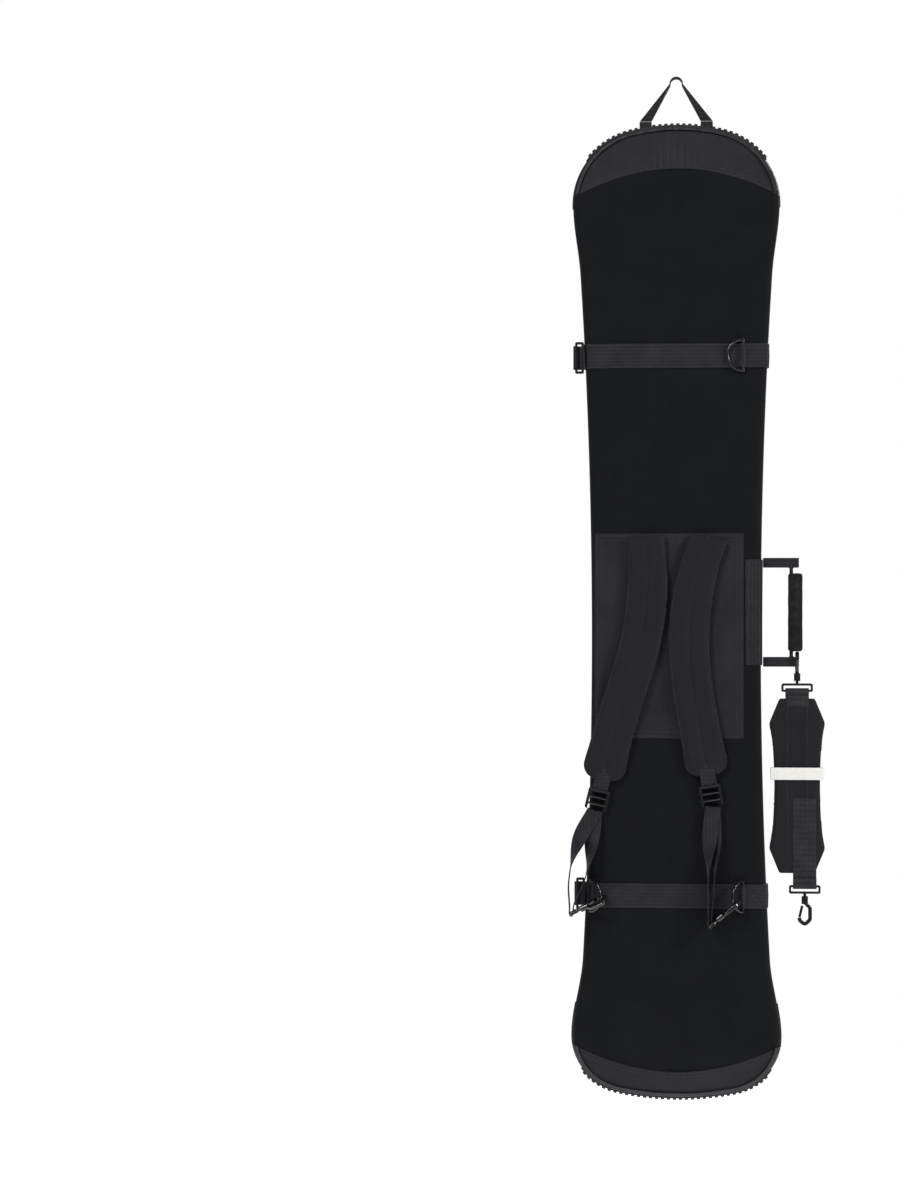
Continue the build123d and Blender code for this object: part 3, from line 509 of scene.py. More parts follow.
def end_sheet(name, seam, side, lift, columns, rows, thick, shape=None):
    """A sheet over one rounded end, from the bag's edge to the named seam."""
    at_tip = PLACES[seam][1] < WAIST_S
    points = LINE if at_tip else LINE[::-1]
    meet = next(i for i, (x, s) in enumerate(points)
                if (s >= seam_s(seam, x) if at_tip else s <= seam_s(seam, x)))
    reach = RUN[meet] if at_tip else RUN[-1] - RUN[len(LINE) - 1 - meet]
    edge_x = points[meet][0]
    flip = side if at_tip else -side

    def point(u, v):
        w = u * flip
        top_x, top_s = along_line(abs(w) * reach if at_tip else RUN[-1] - abs(w) * reach)
        top_x = math.copysign(top_x, w)
        low_x = edge_x * w
        t = ((v + 1) / 2)**1.7
        x, s = mix(top_x, low_x, t), mix(top_s, seam_s(seam, low_x), t)
        extra = shape(x, s, t) if shape else 0
        return skin(x, s, side, lift + extra)

    return laid_sheet(name, columns, rows, point, thick)


sewn(end_sheet("tip_hood_front", "hood", -1, 0, 150, 60, WALL), NEOPRENE, "neoprene", "bag",
     "tip_hood")
sewn(end_sheet("tail_pocket_front", "pocket", -1, 0, 150, 60, WALL), NEOPRENE, "neoprene", "bag",
     "tail_pocket")

# %% [markdown]
# ## Front flanges
# Two long flaps run from pocket to pocket, each from the bag's round edge to the hourglass opening.

# %% flanges
OPEN_TOP, OPEN_LOW = 197.0, 1360.0
OPEN_ARC = ((103.0, 392.0), (66.0, 785.0), (96.0, 1225.0))
upper_flare = eased((147.5, OPEN_TOP), (-0.33, 0.944), OPEN_ARC[0], direction(OPEN_ARC, 392.0))
lower_flare = eased(OPEN_ARC[2], direction(OPEN_ARC, 1225.0), (143.5, OPEN_LOW), (0.669, 0.743))


def opening_x(s):
    """Half the opening's width at s."""
    for flare in (upper_flare, lower_flare):
        if flare[0][1] <= s <= flare[-1][1]:
            i = next(k for k in range(1, len(flare)) if flare[k][1] >= s)
            (ax, ay), (bx, by) = flare[i - 1], flare[i]
            return mix(ax, bx, (s - ay) / max(by - ay, 1e-6))
    if s < OPEN_TOP:
        return upper_flare[0][0]
    return lower_flare[-1][0] if s > OPEN_LOW else arc_x(OPEN_ARC, s)


def flange_point(way):
    def point(u, v):
        q = (1 - u) / 2 if way > 0 else (u + 1) / 2
        top = seam_s("hood", mix(opening_x(210), half_width(220), q))
        low = seam_s("pocket", mix(opening_x(1350), half_width(1350), q))
        s = mix(top, low, (v + 1) / 2)
        x = mix(opening_x(s), half_width(s), math.sin(q * math.pi / 2))
        return skin(way * x, s, -1)
    return point


for way, node in ((1, "left_flange"), (-1, "right_flange")):
    flange = laid_sheet(f"front_{node}", 40, 220, flange_point(way), thick=WALL)
    sewn(flange, NEOPRENE, "neoprene", "bag", node)

# %% [markdown]
# ## Bindings
# Cut neoprene is bound with folded tape so it doesn't tear. The tape wraps both faces, so each
# binding is a strip a little thicker than the wall, laid over its edge.

# %% bindings
HEM = 12.0
TAPE = 0.8


def bound(name, columns, rows, point):
    piece = laid_sheet(name, columns, rows, point, thick=WALL + 2 * TAPE)
    change(piece, "BEVEL", width=0.9 * MM, segments=2, limit_method="ANGLE",
           angle_limit=math.radians(40))
    bpy.ops.object.shade_smooth_by_angle(angle=math.radians(60))
    return piece


def hem_point(way):
    def point(u, v):
        q = (1 - u) / 2 if way > 0 else (u + 1) / 2
        s = mix(OPEN_TOP + 16, OPEN_LOW - 8, (v + 1) / 2)
        return skin(way * (opening_x(s) - 1 + (HEM + 1) * q), s, -1, TAPE)
    return point


def pocket_hem_point(seam, way):
    def point(u, v):
        x = -u * (half_width(PLACES[seam][0]) - EDGE_ROUND * 0.4)
        q = (v + 1) / 2
        s = seam_s(seam, x) + (mix(-HEM, 1, q) if way > 0 else mix(-1, HEM, q))
        return skin(x, s, -1, TAPE)
    return point


hems = [bound("opening_hem_left", 4, 160, hem_point(1)),
        bound("opening_hem_right", 4, 160, hem_point(-1)),
        bound("tip_pocket_hem", 90, 4, pocket_hem_point("hood", 1)),
        bound("tail_pocket_hem", 90, 4, pocket_hem_point("pocket", -1))]
for i, piece in enumerate(hems):
    sewn(piece, WEBBING_UP if i < 2 else WEBBING, "webbing", "bag",
         *(["opening_binding"] if i == 0 else []))

# %% [markdown]
# ## Nylon caps
# A flat piece of oxford eased round a curved end leaves spare cloth, which the machinist gathers
# into small pleats at the middle of the seam. The pleats fade towards the bag's edge, and slow
# folds run from them.

# %% caps
PLEAT = 11.0             # mm from one pleat to the next
FOLDS = 1.5              # height of the slow folds, in mm


def gathered(middle_s, width, depth):
    """Height of the gathers and folds at (x, s), t of the way from the edge to the seam."""
    def shape(x, s, t):
        fade = math.exp(-(x / width)**2) * max(t, 0)**2.2
        uneven = 1.5 * noise.noise(Vector((x / 20, 0, 2)))
        pleat = 0.5 + 0.5 * math.cos(2 * math.pi * x / PLEAT + uneven)
        slow = FOLDS * noise.noise(Vector((x / 38, s / 60, middle_s / 100))) * min(t * 4, 1)
        return depth * fade * pleat + slow * (1 - 0.5 * t)
    return shape


# cap: side of the bag, depth of its pleats, and how far from the middle they fade, in mm
CAPS = {"tip_cap_back": (1, 2.4, 34), "tail_cap_back": (1, 2.0, 26),
        "tip_cap_front": (-1, 2.0, 30), "tail_cap_front": (-1, 1.8, 30)}
caps = {}
for name, (side, depth, width) in CAPS.items():
    shape = gathered(PLACES[name][1], width, depth)
    piece = end_sheet(f"oxford_{name}", name, side, 1.2, 220, 44, 1.0, shape)
    caps[name] = sewn(piece, OXFORD, "nylon_cap", "bag", name)

# %% [markdown]
# ## Webbing and straps
# Webbing is woven as a flat tube, so its selvedges are round. Where the CAD already gives the fold
# and the place, its solid is copied, remeshed at about the thread's size and relaxed, which rounds
# the edges as weaving does. Bands that lie on the sleeve are laid like the panels instead.

# %% webbing helpers
def softened(node, name, voxel, relax, waves=0.0):
    """A relaxed, evenly meshed copy of a CAD solid."""
    piece = bpy.data.objects.new(name, frame["nodes"][node].data.copy())
    bpy.context.scene.collection.objects.link(piece)
    tidy_faces(piece)
    change(piece, "REMESH", mode="VOXEL", voxel_size=voxel * MM)
    change(piece, "SMOOTH", factor=0.5, iterations=relax)
    for vertex in piece.data.vertices:
        x, y, z = vertex.co
        vertex.co.y += waves * MM * noise.noise(Vector((x, z * 0.6, 7)) * 22)
    bpy.ops.object.shade_smooth()
    return piece


def band(name, s, left, right, side, lift, thick, tall=40.0, columns=90):
    """A strip of webbing across the bag on its skin, between two x."""
    def point(u, v):
        x = mix(left, right, (u * side + 1) / 2)
        limit = half_width(s + v * tall / 2)
        return skin(min(max(x, -limit), limit), s + v * tall / 2, side, lift)
    piece = laid_sheet(name, columns, 12, point, thick=thick)
    change(piece, "BEVEL", width=0.7 * MM, segments=2, limit_method="ANGLE",
           angle_limit=math.radians(40))
    bpy.ops.object.shade_smooth_by_angle(angle=math.radians(60))
    return piece


# %% bands and straps
UPPER_S, LOWER_S = 384.0, 1262.0
for name, s in (("upper", UPPER_S), ("lower", LOWER_S)):
    half = half_width(s)
    sewn(band(f"{name}_back_band", s, -half, half, 1, 2.0, 1.8), WEBBING, "webbing", "bag",
         f"{name}_band")
    sewn(band(f"{name}_loop_strap", s, -half, half - 2, -1, 3.2, 2.0), LOOP_TAPE, "hook_and_loop",
         "bag", f"{name}_strap_base")
    sewn(softened(f"{name}_strap_tail", f"{name}_hook_strap", 1.1, 4), HOOK_TAPE, "hook_and_loop",
         f"{name}_tail", f"{name}_strap_tail")

WOVEN = [  # node, piece, voxel, relax, waves, finish, body
    ("middle_strap", "middle_webbing", 1.0, 3, 0.0, WEBBING, "bag"),
    ("ring_tabs", "ring_tab_webbing", 0.8, 4, 0.0, WEBBING, "bag"),
    ("d_ring_tabs", "d_ring_tab_webbing", 0.7, 3, 0.0, WEBBING, "bag"),
    ("handle_base_strip", "handle_base_webbing", 1.1, 3, 0.0, WEBBING_UP, "bag"),
    ("grab_loop", "grab_loop_webbing", 0.8, 6, 0.0, WEBBING, "grab_loop"),
    ("handle_webbing", "handle_ears", 0.9, 5, 0.0, WEBBING, "carry_handle"),
    ("pad_tab_left", "pad_tab_webbing_left", 0.7, 3, 0.0, WEBBING, "shoulder_left"),
    ("pad_tab_right", "pad_tab_webbing_right", 0.7, 3, 0.0, WEBBING, "shoulder_right"),
    ("sling_webbing", "sling_webbing_folded", 1.0, 3, 0.3, SLING_WEB, "sling"),
]
woven_pieces = {}
for node, name, voxel, relax, waves, finish, body in WOVEN:
    piece = softened(node, name, voxel, relax, waves)
    woven_pieces[node] = sewn(piece, finish, "webbing", body, node)
sewn(softened("sling_tie", "sling_tie_tape", 0.8, 4), TIE_TAPE, "webbing", "sling", "sling_tie")

# %% [markdown]
# A harness strand is one length of 25 mm webbing, doubled: it leaves the ladder lock flat on the
# bag, twists edge-on as it falls, goes through the hook's eye, and comes back up. A ribbon along
# a smooth path does that, with its width turning from across the bag to straight out of it.

# %% harness strands
JOINT = {joint["name"]: joint for joint in frame["record"]["behaviour"]["joints"]}
STRAND_WIDE, STRAND_THICK, LOCK_DROP = 25.0, 1.7, 34.3


def smooth_path(points, count):
    """Even points, in metres, of a smooth line through a few given in mm."""
    curve = bpy.data.curves.new("path", "CURVE")
    curve.dimensions = "3D"
    spline = curve.splines.new("BEZIER")
    spline.bezier_points.add(len(points) - 1)
    for knot, point in zip(spline.bezier_points, points):
        knot.co = point
        knot.handle_left_type = knot.handle_right_type = "AUTO"
    spline.resolution_u = 20
    holder = bpy.data.objects.new("path", curve)
    found = [v.co.copy() for v in bpy.data.meshes.new_from_object(holder).vertices]
    bpy.data.objects.remove(holder)
    run = [0.0]
    for a, b in zip(found, found[1:]):
        run.append(run[-1] + (b - a).length)
    even = []
    for i in range(count + 1):
        d = run[-1] * i / count
        k = min(max(bisect.bisect_left(run, d), 1), len(found) - 1)
        even.append(found[k - 1].lerp(found[k], (d - run[k - 1]) / max(run[k] - run[k - 1], 1e-9)))
    return even


def ribbon(name, points, across, wide, thick, count=120):
    """Webbing along a path; across(t) is its width's direction at share t of the path."""
    path = smooth_path(points, count)

    def place(u, v):
        i = round((v + 1) / 2 * count)
        step = path[min(i + 1, count)] - path[max(i - 1, 0)]
        side = across(i / count)
        side = (side - step.normalized() * side.dot(step.normalized())).normalized()
        return (path[i] + side * u * wide / 2) * MM
    piece = laid_sheet(name, 6, count, place, thick=thick, away=0.0)
    change(piece, "BEVEL", width=0.6 * MM, segments=2, limit_method="ANGLE",
           angle_limit=math.radians(40))
    bpy.ops.object.shade_smooth_by_angle(angle=math.radians(60))
    return piece


STRANDS = {"left": (16.0, 24.0, 6.0), "right": (5.0, 9.0, -3.0)}   # bows of outer and inner layers
for side, (outer_bow, inner_bow, start_out) in STRANDS.items():
    lock, eye = JOINT[f"lock_{side}_tilt"], JOINT[f"hook_{side}_swivel"]
    across_lock = Vector(lock["axis"])
    down = Vector((across_lock.z, 0, -across_lock.x))
    down = down if down.z < 0 else -down
    low = Vector(lock["pos_m"]) / MM + down * LOCK_DROP
    bar = Vector(eye["pos_m"]) / MM
    toward = Vector(eye["axis"])
    drop = bar - low
    out = Vector((1, 0, 0))
    over = Vector((0, 1, 0))
    up = Vector((0, 0, 1))
    points = [
        low + over * 1.2, low + drop * 0.3 + out * outer_bow + over * 3,
        low + drop * 0.68 + out * outer_bow * 1.1 + over * 2, bar - toward * 5.4 + up * 9,
        bar - toward * 5.2 + up * 0.5, bar - toward * 2.0 - up * 4.2, bar + toward * 1.4 + up * 0.5,
        bar + toward * 1.2 + up * 9, low + drop * 0.68 + out * (outer_bow - inner_bow) + over * 2,
        low + drop * 0.3 + out * (outer_bow - inner_bow) * 0.7 + over * 1, low - over * 1.2,
    ]

    def turning(t, start=across_lock):
        near_eye = min(1.0, max(0.0, (0.5 - abs(t - 0.5) - 0.06) / 0.24))
        ease = near_eye * near_eye * (3 - 2 * near_eye) * math.pi / 2
        return start * math.cos(ease) + Vector((0, 1, 0)) * math.sin(ease)

    strand = ribbon(f"harness_strand_{side}", points, turning, STRAND_WIDE, STRAND_THICK)
    sewn(strand, WEBBING_UP, "webbing", f"strand_{side}", f"harness_webbing_{side}")

# %% [markdown]
# The sling's webbing ends in a sewn loop round the bar of each eye.

# %% sling loops
SLING_WIDE = 38.0
for name, joint, way in (("sling_loop_top", "sling_turn", -1), ("sling_loop_bottom",
                                                               "free_hook_swing", 1)):
    bar = Vector(JOINT[joint]["pos_m"]) / MM + Vector((0, 0, 2.1 * way))
    turn = [Vector((0, dy, dz * way)) for dy, dz in
            ((1.2, 13), (3.4, 7), (3.6, 1.5), (2.4, -2.6), (0, -3.7), (-2.4, -2.6), (-3.6, 1.5),
             (-3.4, 7), (-1.2, 13))]
    loop = ribbon(name, [bar + step for step in turn], lambda t: Vector((1, 0, 0)), SLING_WIDE, 1.6,
                  count=48)
    sewn(loop, SLING_WEB, "webbing", "sling")

# %% [markdown]
# The grab loop's two feet are sewn into the cap's end seam. A short stub of the same webbing
# comes out of the seam at each foot, and the loop folds where the stub ends.

# %% loop anchors
LOOP_FOOT_X, LOOP_WIDE, STUB = 50.0, 20.0, 18.0
STUB_THICK, STUB_RISE = 2.6, 3.7
for way in (-1, 1):
    bpy.ops.object.select_all(action="DESELECT")
    bpy.ops.mesh.primitive_cube_add(size=1)
    stub = bpy.context.object
    stub.name = "loop_stub_left" if way > 0 else "loop_stub_right"
    for vertex in stub.data.vertices:
        x, y, z = vertex.co
        top = z_at(0) + STUB_RISE
        vertex.co = Vector((way * LOOP_FOOT_X + x * LOOP_WIDE, rocker(0, 0) + y * STUB_THICK,
                            top - STUB * (0.5 - z))) * MM
    change(stub, "BEVEL", width=0.9 * MM, segments=3)
    bpy.ops.object.shade_smooth_by_angle(angle=math.radians(60))
    sewn(stub, WEBBING_UP, "webbing", "bag")

# %% [markdown]
# ## Harness panel
# A rectangle of oxford is sewn flat on the back to carry the shoulder straps. Its hem is folded
# under, so its border is a little thicker than its middle.

# %% harness panel
PANEL_X, PANEL_S = (-109.0, 132.0), (673.0, 1006.0)


def panel_point(u, v):
    x = mix(*PANEL_X, (u + 1) / 2)
    s = mix(*PANEL_S, (v + 1) / 2)
    rim = min((1 - abs(u)) * 120.5, (1 - abs(v)) * 166.5)
    fold = 0.5 * max(0.0, 1 - (rim / 12)**4) - 0.7 * max(0.0, 1 - rim / 1.6)
    loose = 0.9 * noise.noise(Vector((x / 55, s / 80, 5))) * min(rim / 20, 1)
    return skin(x, s, 1, 1.2 + fold + loose)


harness_panel = sewn(laid_sheet("harness_panel_cloth", 120, 160, panel_point, thick=1.2), OXFORD,
                     "nylon_cap", "bag", "harness_panel")

# %% [markdown]
# ## Padding
# A pad is two layers of cloth sewn round foam. Cloth simulation with a little pressure gives it
# the crown that sewing gives it: the copy is remeshed evenly, blown up for 20 steps, and no point
# may move further than a cap. Seams are pressed in afterwards, because a remesh would lose them.

# %% padding
def blown(piece, pressure, cap):
    """Runs a pressure cloth simulation and keeps its result, capped."""
    before = [vertex.co.copy() for vertex in piece.data.vertices]
    cloth = piece.modifiers.new("Cloth", "CLOTH")
    cloth.settings.use_pressure = True
    cloth.settings.uniform_pressure_force = pressure
    cloth.settings.effector_weights.gravity = 0
    cloth.point_cache.frame_end = 20
    for step in range(1, 21):
        bpy.context.scene.frame_set(step)
    shaped = piece.evaluated_get(bpy.context.evaluated_depsgraph_get()).data
    after = [vertex.co.copy() for vertex in shaped.vertices]
    piece.modifiers.remove(cloth)
    bpy.context.scene.frame_set(1)
    for vertex, start, end in zip(piece.data.vertices, before, after):
        step = end - start
        if step.length > cap * MM:
            step *= cap * MM / step.length
        vertex.co = start + step


def padded(node, name, voxel, pressure, cap, low_y):
    piece = softened(node, name, voxel, 2)
    blown(piece, pressure, cap)
    for vertex in piece.data.vertices:
        vertex.co.y = max(vertex.co.y, low_y)
    return piece


PAD_LINES = {
    "left": [(48, 676), (47, 768), (57, 844), (78, 919), (101, 995), (120, 1074)],
    "right": [(-55, 676), (-28, 768), (-21, 844), (-26, 919), (-39, 995), (-51, 1066)],
}


def line_of(points, count=120):
    """Even (x, s) points of a smooth line through a few."""
    curve = bpy.data.curves.new("line", "CURVE")
    spline = curve.splines.new("BEZIER")
    spline.bezier_points.add(len(points) - 1)
    for point, (x, s) in zip(spline.bezier_points, points):
        point.co = (x, s, 0)
        point.handle_left_type = point.handle_right_type = "AUTO"
    spline.resolution_u = 24
    holder = bpy.data.objects.new("line", curve)
    mesh = bpy.data.meshes.new_from_object(holder)
    found = [(v.co.x, v.co.y) for v in mesh.vertices]
    bpy.data.objects.remove(holder)
    run = [0.0]
    for a, b in zip(found, found[1:]):
        run.append(run[-1] + math.dist(a, b))
    even = []
    for i in range(count + 1):
        d = run[-1] * i / count
        k = min(max(bisect.bisect_left(run, d), 1), len(found) - 1)
        t = (d - run[k - 1]) / max(run[k] - run[k - 1], 1e-9)
        even.append((mix(found[k - 1][0], found[k][0], t), mix(found[k - 1][1], found[k][1], t)))
    return even


PAD_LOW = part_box("shoulder_pad_left")[0].y
pads = {}
for side, points in PAD_LINES.items():
    pad = padded(f"shoulder_pad_{side}", f"shoulder_strap_{side}", 2.2, 3.0, 3.0, PAD_LOW)
    line = line_of(points)
    tree = KDTree(len(line))
    for i, (x, s) in enumerate(line):
        tree.insert((x, s, 0), i)
    tree.balance()
    for vertex in pad.data.vertices:
        vertex.co.z = min(vertex.co.z, z_at(PANEL_S[0] + 2) * MM)
        x, s = vertex.co.x / MM, -vertex.co.z / MM - LOOP_RISE
        gap = tree.find((x, s, 0))[2]
        press = 2.6 * math.exp(-(gap / 2.4)**2) + 1.5 * math.exp(-((gap - 28) / 2.2)**2)
        inside = (vertex.co.y - PAD_LOW) / (9 * MM)
        vertex.co.y -= press * MM * min(max(inside, 0), 1)
    change(pad, "SUBSURF", levels=1, render_levels=1)
    bpy.ops.object.shade_smooth()
    pads[side] = sewn(pad, PAD_CLOTH, "pad_foam", f"shoulder_{side}", f"shoulder_pad_{side}")

low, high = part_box("sling_pad")
sling_pad = padded("sling_pad", "sling_pad_cloth", 2.4, 3.0, 2.5, low.y - 1.2 * MM)
change(sling_pad, "SUBSURF", levels=1, render_levels=1)
bpy.ops.object.shade_smooth()
sewn(sling_pad, PAD_CLOTH, "pad_foam", "sling", "sling_pad")

grip = softened("handle_grip", "handle_grip_foam", 1.4, 6)
GRIP_X = (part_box("handle_grip")[0].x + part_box("handle_grip")[1].x) / 2
GRIP_Y = (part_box("handle_grip")[0].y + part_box("handle_grip")[1].y) / 2
FOAM_FROM = 9.0          # nearer the axis than this is the hole for the webbing
for vertex in grip.data.vertices:
    out = Vector((vertex.co.x - GRIP_X, vertex.co.y - GRIP_Y))
    turn = math.atan2(out.y, out.x)
    crease = 0.5 * math.exp(-((turn - 1.2) / 0.09)**2)
    squeeze = 0.3 * noise.noise(vertex.co * 60)
    size = max(out.length - (crease + 0.4 - squeeze) * MM, 0.0) / max(out.length, 1e-6)
    if out.length > FOAM_FROM * MM:
        vertex.co.x, vertex.co.y = GRIP_X + out.x * size, GRIP_Y + out.y * size
sewn(grip, FOAM_GRIP, "grip_foam", "carry_handle", "handle_grip")

# %% [markdown]
# ## Stitching
# Rows of stitches are what make cloth read as sewn. One stitch is a short thread that dips into
# the cloth at both ends. It is modelled once, then copied along each seam, resting on whatever
# cloth lies there, which a ray from outside finds.

# %% stitch helper
STITCH, PITCH, THREAD_R = 2.9, 4.2, 0.42


def surface(*pieces):
    points, faces = [], []
    for piece in pieces:
        start = len(points)
        points += [vertex.co for vertex in piece.data.vertices]
        faces += [[start + i for i in face.vertices] for face in piece.data.polygons]
    return BVHTree.FromPolygons(points, faces)


def stitch_rows(name, cloth, rows, side, body, slot="webbing"):
    """Stitches along rows of (x, s) points, on the face of the cloth that looks to `side`."""
    points, faces = [], []
    for row in rows:
        run = 0.0
        spare = PITCH / 2
        for (ax, ay), (bx, by) in zip(row, row[1:]):
            length = math.dist((ax, ay), (bx, by))
            while spare < length:
                t = spare / length
                x, s = mix(ax, bx, t), mix(ay, by, t)
                along = Vector((bx - ax, 0, ay - by)).normalized()
                start = Vector((x * MM, side * 0.3, z_at(s) * MM))
                hit, normal, _, _ = cloth.ray_cast(start, Vector((0, -side, 0)))
                spare += PITCH
                if hit is None:
                    continue
                up = normal if normal.y * side > 0 else -normal
                along = (along - up * along.dot(up)).normalized()
                across = up.cross(along)
                base = len(points)
                for step, (far, rise, wide) in enumerate(((-1, -0.2, 0.6), (-0.6, 0.45, 1),
                                                          (0.6, 0.45, 1), (1, -0.2, 0.6))):
                    centre = hit + along * far * STITCH / 2 * MM + up * rise * THREAD_R * MM
                    for k in range(6):
                        a = k * math.pi / 3
                        points.append(centre + (across * math.cos(a) + up * math.sin(a))
                                      * THREAD_R * wide * MM)
                for ring in range(3):
                    for k in range(6):
                        a, b = base + ring * 6 + k, base + ring * 6 + (k + 1) % 6
                        faces.append((a, b, b + 6, a + 6))
                faces.append(tuple(base + k for k in range(5, -1, -1)))
                faces.append(tuple(base + 18 + k for k in range(6)))
            spare -= length
    mesh = bpy.data.meshes.new(name)
    mesh.from_pydata(points, [], faces)
    piece = bpy.data.objects.new(name, mesh)
    bpy.context.scene.collection.objects.link(piece)
    pick(piece)
    bpy.ops.object.mode_set(mode="EDIT")
    bpy.ops.mesh.select_all(action="SELECT")
    bpy.ops.mesh.normals_make_consistent(inside=False)
    bpy.ops.object.mode_set(mode="OBJECT")
    bpy.ops.object.shade_smooth()
    return sewn(piece, THREAD, slot, body)


def frame_row(x0, x1, s0, s1):
    return [(x0, s0), (x1, s0), (x1, s1), (x0, s1), (x0, s0)]


def box_x(x0, x1, s0, s1):
    """The box-and-cross tack that sews webbing down."""
    return [frame_row(x0, x1, s0, s1), [(x0, s0), (x1, s1)], [(x0, s1), (x1, s0)]]


# %% stitches on the back
HANDLE_S = 801.0


def seam_row(seam, inset, count=80):
    edge = half_width(PLACES[seam][0]) - 5
    return [(x, seam_s(seam, x) + inset) for x in (mix(-edge, edge, i / count)
                                                   for i in range(count + 1))]


rows = [seam_row("tip_cap_back", -2.5), seam_row("tip_cap_back", -8),
        seam_row("tail_cap_back", 2.5), seam_row("tail_cap_back", 8)]
stitch_rows("cap_stitches_back", surface(caps["tip_cap_back"], caps["tail_cap_back"]), rows, 1,
            "bag")
rows = [frame_row(PANEL_X[0] + inset, PANEL_X[1] - inset, PANEL_S[0] + inset, PANEL_S[1] - inset)
        for inset in (4, 11)]
stitch_rows("panel_stitches", surface(harness_panel), rows, 1, "bag")

webbing_back = surface(*[bpy.data.objects[n] for n in ("upper_back_band", "lower_back_band",
                                                       "handle_base_webbing",
                                                       "d_ring_tab_webbing")], back)
rows = []
for s in (UPPER_S, LOWER_S):
    half = half_width(s) - 8
    rows += box_x(-half, -half + 30, s - 16, s + 16)
    rows += [[(-half, s - 17.5), (half, s - 17.5)], [(-half, s + 17.5), (half, s + 17.5)]]
half = half_width(HANDLE_S)
for s in (HANDLE_S - 68, HANDLE_S + 68):
    rows += box_x(-half + 3, -half + 22, s - 12, s + 12)
rows += [[(-half + 3, 718), (-half + 3, 884)], [(-half + 22, 718), (-half + 22, 884)]]
stitch_rows("band_stitches", webbing_back, rows, 1, "bag")

for side, points in PAD_LINES.items():
    line = line_of(points)
    rows = []
    for inset in (-28, 28):
        row = []
        for (ax, ay), (bx, by) in zip(line[2:-14], line[3:-13]):
            size = math.dist((ax, ay), (bx, by))
            share = min(1.0, (ay - points[0][1]) / 90)
            wide = math.copysign(mix(25.5, 30.5, share), inset)
            row.append((ax - (by - ay) / size * wide, ay + (bx - ax) / size * wide))
        rows.append(row)
    stitch_rows(f"shoulder_stitches_{side}", surface(pads[side]), rows, 1, f"shoulder_{side}",
                slot="pad_foam")

low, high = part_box("sling_pad")
middle_x = (low.x + high.x) / 2 / MM
top_s, low_s = -high.z / MM - LOOP_RISE, -low.z / MM - LOOP_RISE
rows = [frame_row(middle_x - 16, middle_x + 16, top_s + 4, low_s - 22)]
rows += [[(middle_x - 41, top_s + 48), (middle_x - 36, (top_s + low_s) / 2),
          (middle_x - 41, low_s - 48)],
         [(middle_x + 41, top_s + 48), (middle_x + 36, (top_s + low_s) / 2),
          (middle_x + 41, low_s - 48)]]
stitch_rows("sling_stitches", surface(bpy.data.objects["sling_webbing_folded"], sling_pad), rows, 1,
            "sling")

# %% stitches on the front
rows = [seam_row("tip_cap_front", -2.5), seam_row("tip_cap_front", -8),
        seam_row("tail_cap_front", 2.5), seam_row("tail_cap_front", 8)]
stitch_rows("cap_stitches_front", surface(caps["tip_cap_front"], caps["tail_cap_front"]), rows, -1,
            "bag")
rows = []
for way in (-1, 1):
    rows.append([(way * (opening_x(s) + HEM - 2), s) for s in range(222, 1346, 6)])
rows.append([(x, seam_s("hood", x) - HEM + 2) for x in range(-140, 141, 10)])
rows.append([(x, seam_s("pocket", x) + HEM - 2) for x in range(-136, 137, 10)])
stitch_rows("hem_stitches", surface(*hems), rows, -1, "bag")
for name, s in (("upper", UPPER_S), ("lower", LOWER_S)):
    cloth = bpy.data.objects[f"{name}_hook_strap"]
    low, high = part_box(f"{name}_strap_tail")
    left, right = low.x / MM, high.x / MM
    rows = box_x(right - 34, right - 8, s - 15, s + 15)
    rows += [[(left + 14, s - 17.5), (right - 38, s - 17.5)],
             [(left + 14, s + 17.5), (right - 38, s + 17.5)]]
    stitch_rows(f"{name}_strap_stitches", surface(cloth), rows, -1, f"{name}_tail",
                slot="hook_and_loop")

# %% [markdown]
# ## Stage and camera
# The bag hangs against nothing, over a pale floor. It is seen square on from the harness side, at
# the right of the view, so the camera stands straight behind it and is turned a little away.

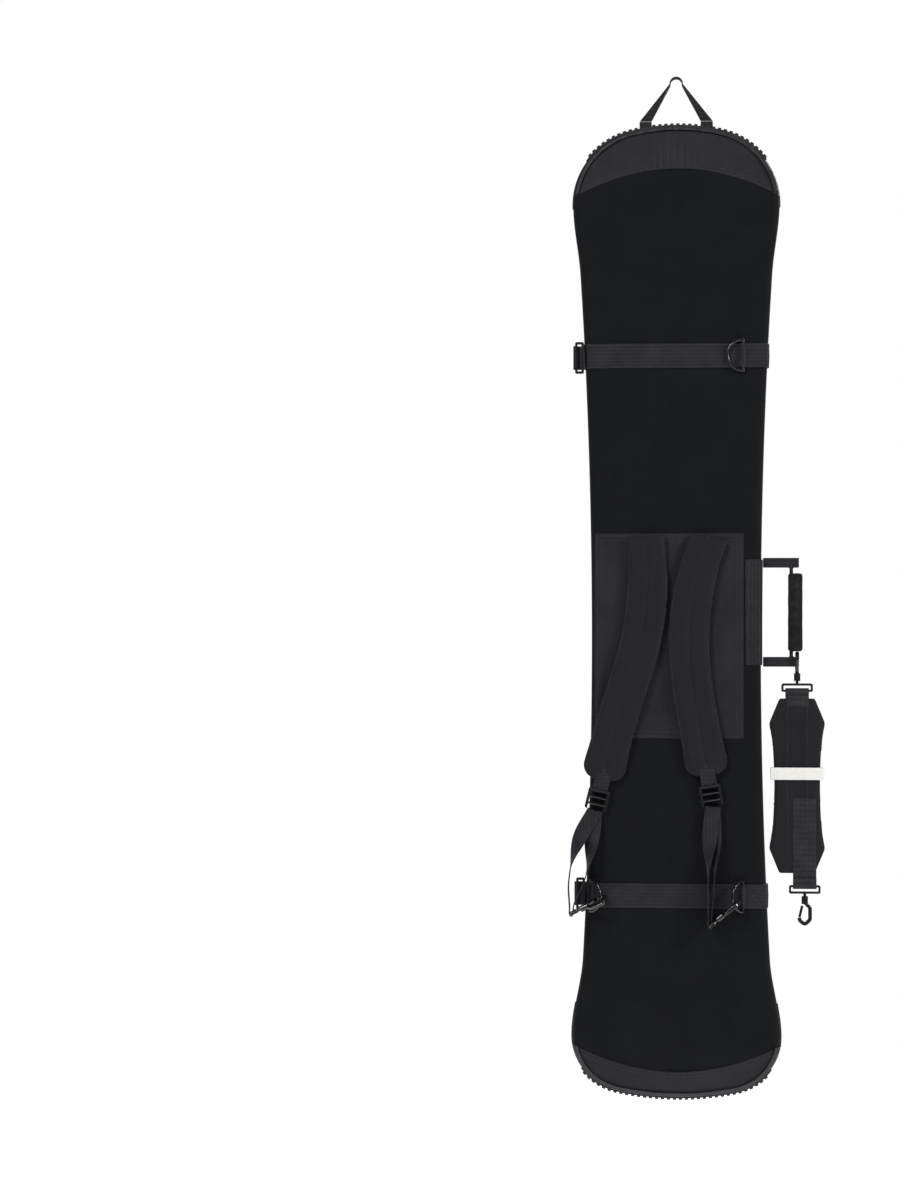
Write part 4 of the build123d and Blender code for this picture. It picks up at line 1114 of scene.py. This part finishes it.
# %% stage
bpy.ops.object.select_all(action="DESELECT")
bpy.ops.mesh.primitive_plane_add(size=4.4, location=(0, 0, -2.0))
floor = bpy.context.object
floor.name = "studio_floor"
paper, tree, shader = new_finish("white seamless paper", 0.95, 1.45, Specular_IOR_Level=0.1)
shader.inputs["Base Color"].default_value = linear("#f2f2f2")
shader.inputs["Emission Color"].default_value = linear("#ffffff")
shader.inputs["Emission Strength"].default_value = 0.55
dress(floor, paper)
floor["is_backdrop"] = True

world = bpy.data.worlds.new("studio")
bpy.context.scene.world = world
world.use_nodes = True
seen = world.node_tree.nodes["Background"]
seen.inputs["Color"].default_value = (1, 1, 1, 1)
glow = add(world.node_tree, "Background", {"Color": (0.93, 0.96, 1, 1), "Strength": 0.28})
path = add(world.node_tree, "LightPath").outputs["Is Camera Ray"]
both = add(world.node_tree, "MixShader", {0: path, 1: glow.outputs[0], 2: seen.outputs[0]})
world.node_tree.links.new(both.outputs[0], world.node_tree.nodes["World Output"].inputs["Surface"])


def soft_light(name, place, aim, size, watts):
    light = bpy.data.lights.new(name, "AREA")
    light.shape = "DISK"
    light.size = size
    light.energy = watts
    lamp = bpy.data.objects.new(name, light)
    bpy.context.scene.collection.objects.link(lamp)
    lamp.location = place
    lamp.rotation_euler = (Vector(aim) - Vector(place)).to_track_quat("-Z", "Y").to_euler()


# name, place, what it is aimed at, disk size in metres, watts
soft_light("key", (1.8, 2.6, 1.2), (0, 0, -0.8), 1.2, 85)
soft_light("side", (-2.4, 1.6, 0.2), (0, 0, -0.9), 0.8, 55)
soft_light("front_key", (-1.6, -2.6, 1.0), (0, 0, -0.8), 1.4, 95)

CAMERA_Y = 5.0
AIM = Vector((0.372, 0.0, -0.855))
camera_data = bpy.data.cameras.new("camera")
camera_data.lens = 91.2
camera_data.sensor_width = 36
camera = bpy.data.objects.new("camera", camera_data)
bpy.context.scene.collection.objects.link(camera)
camera.location = (0.0, CAMERA_Y, AIM.z)
camera.rotation_euler = (AIM - camera.location).to_track_quat("-Z", "Y").to_euler()
bpy.context.scene.camera = camera
bpy.context.scene.view_settings.view_transform = "Standard"

# %% [markdown]
# ## Sheets
# Five of the sewn panels are listed with the width and length of their outline. The area printed
# for each is half the surface of the finished mesh, and no more than its rectangle.

# %% sheet areas
CUT = {  # piece: width and length in mm
    "oxford_tip_cap_back": (336.0, 130.0), "oxford_tail_cap_back": (340.0, 100.0),
    "oxford_tip_cap_front": (336.0, 150.0), "oxford_tail_cap_front": (340.0, 170.0),
    "harness_panel_cloth": (241.0, 333.0),
}
for name, (wide, long) in CUT.items():
    piece = bpy.data.objects[name]
    area = sum(face.area for face in piece.data.polygons) / 2
    share = min(area, wide * long * MM * MM)
    print(name, "cut area", round(share, 4))

# %% [markdown]
# ## Finish
# The box round the visual model is found.

# %% finish
low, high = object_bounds()
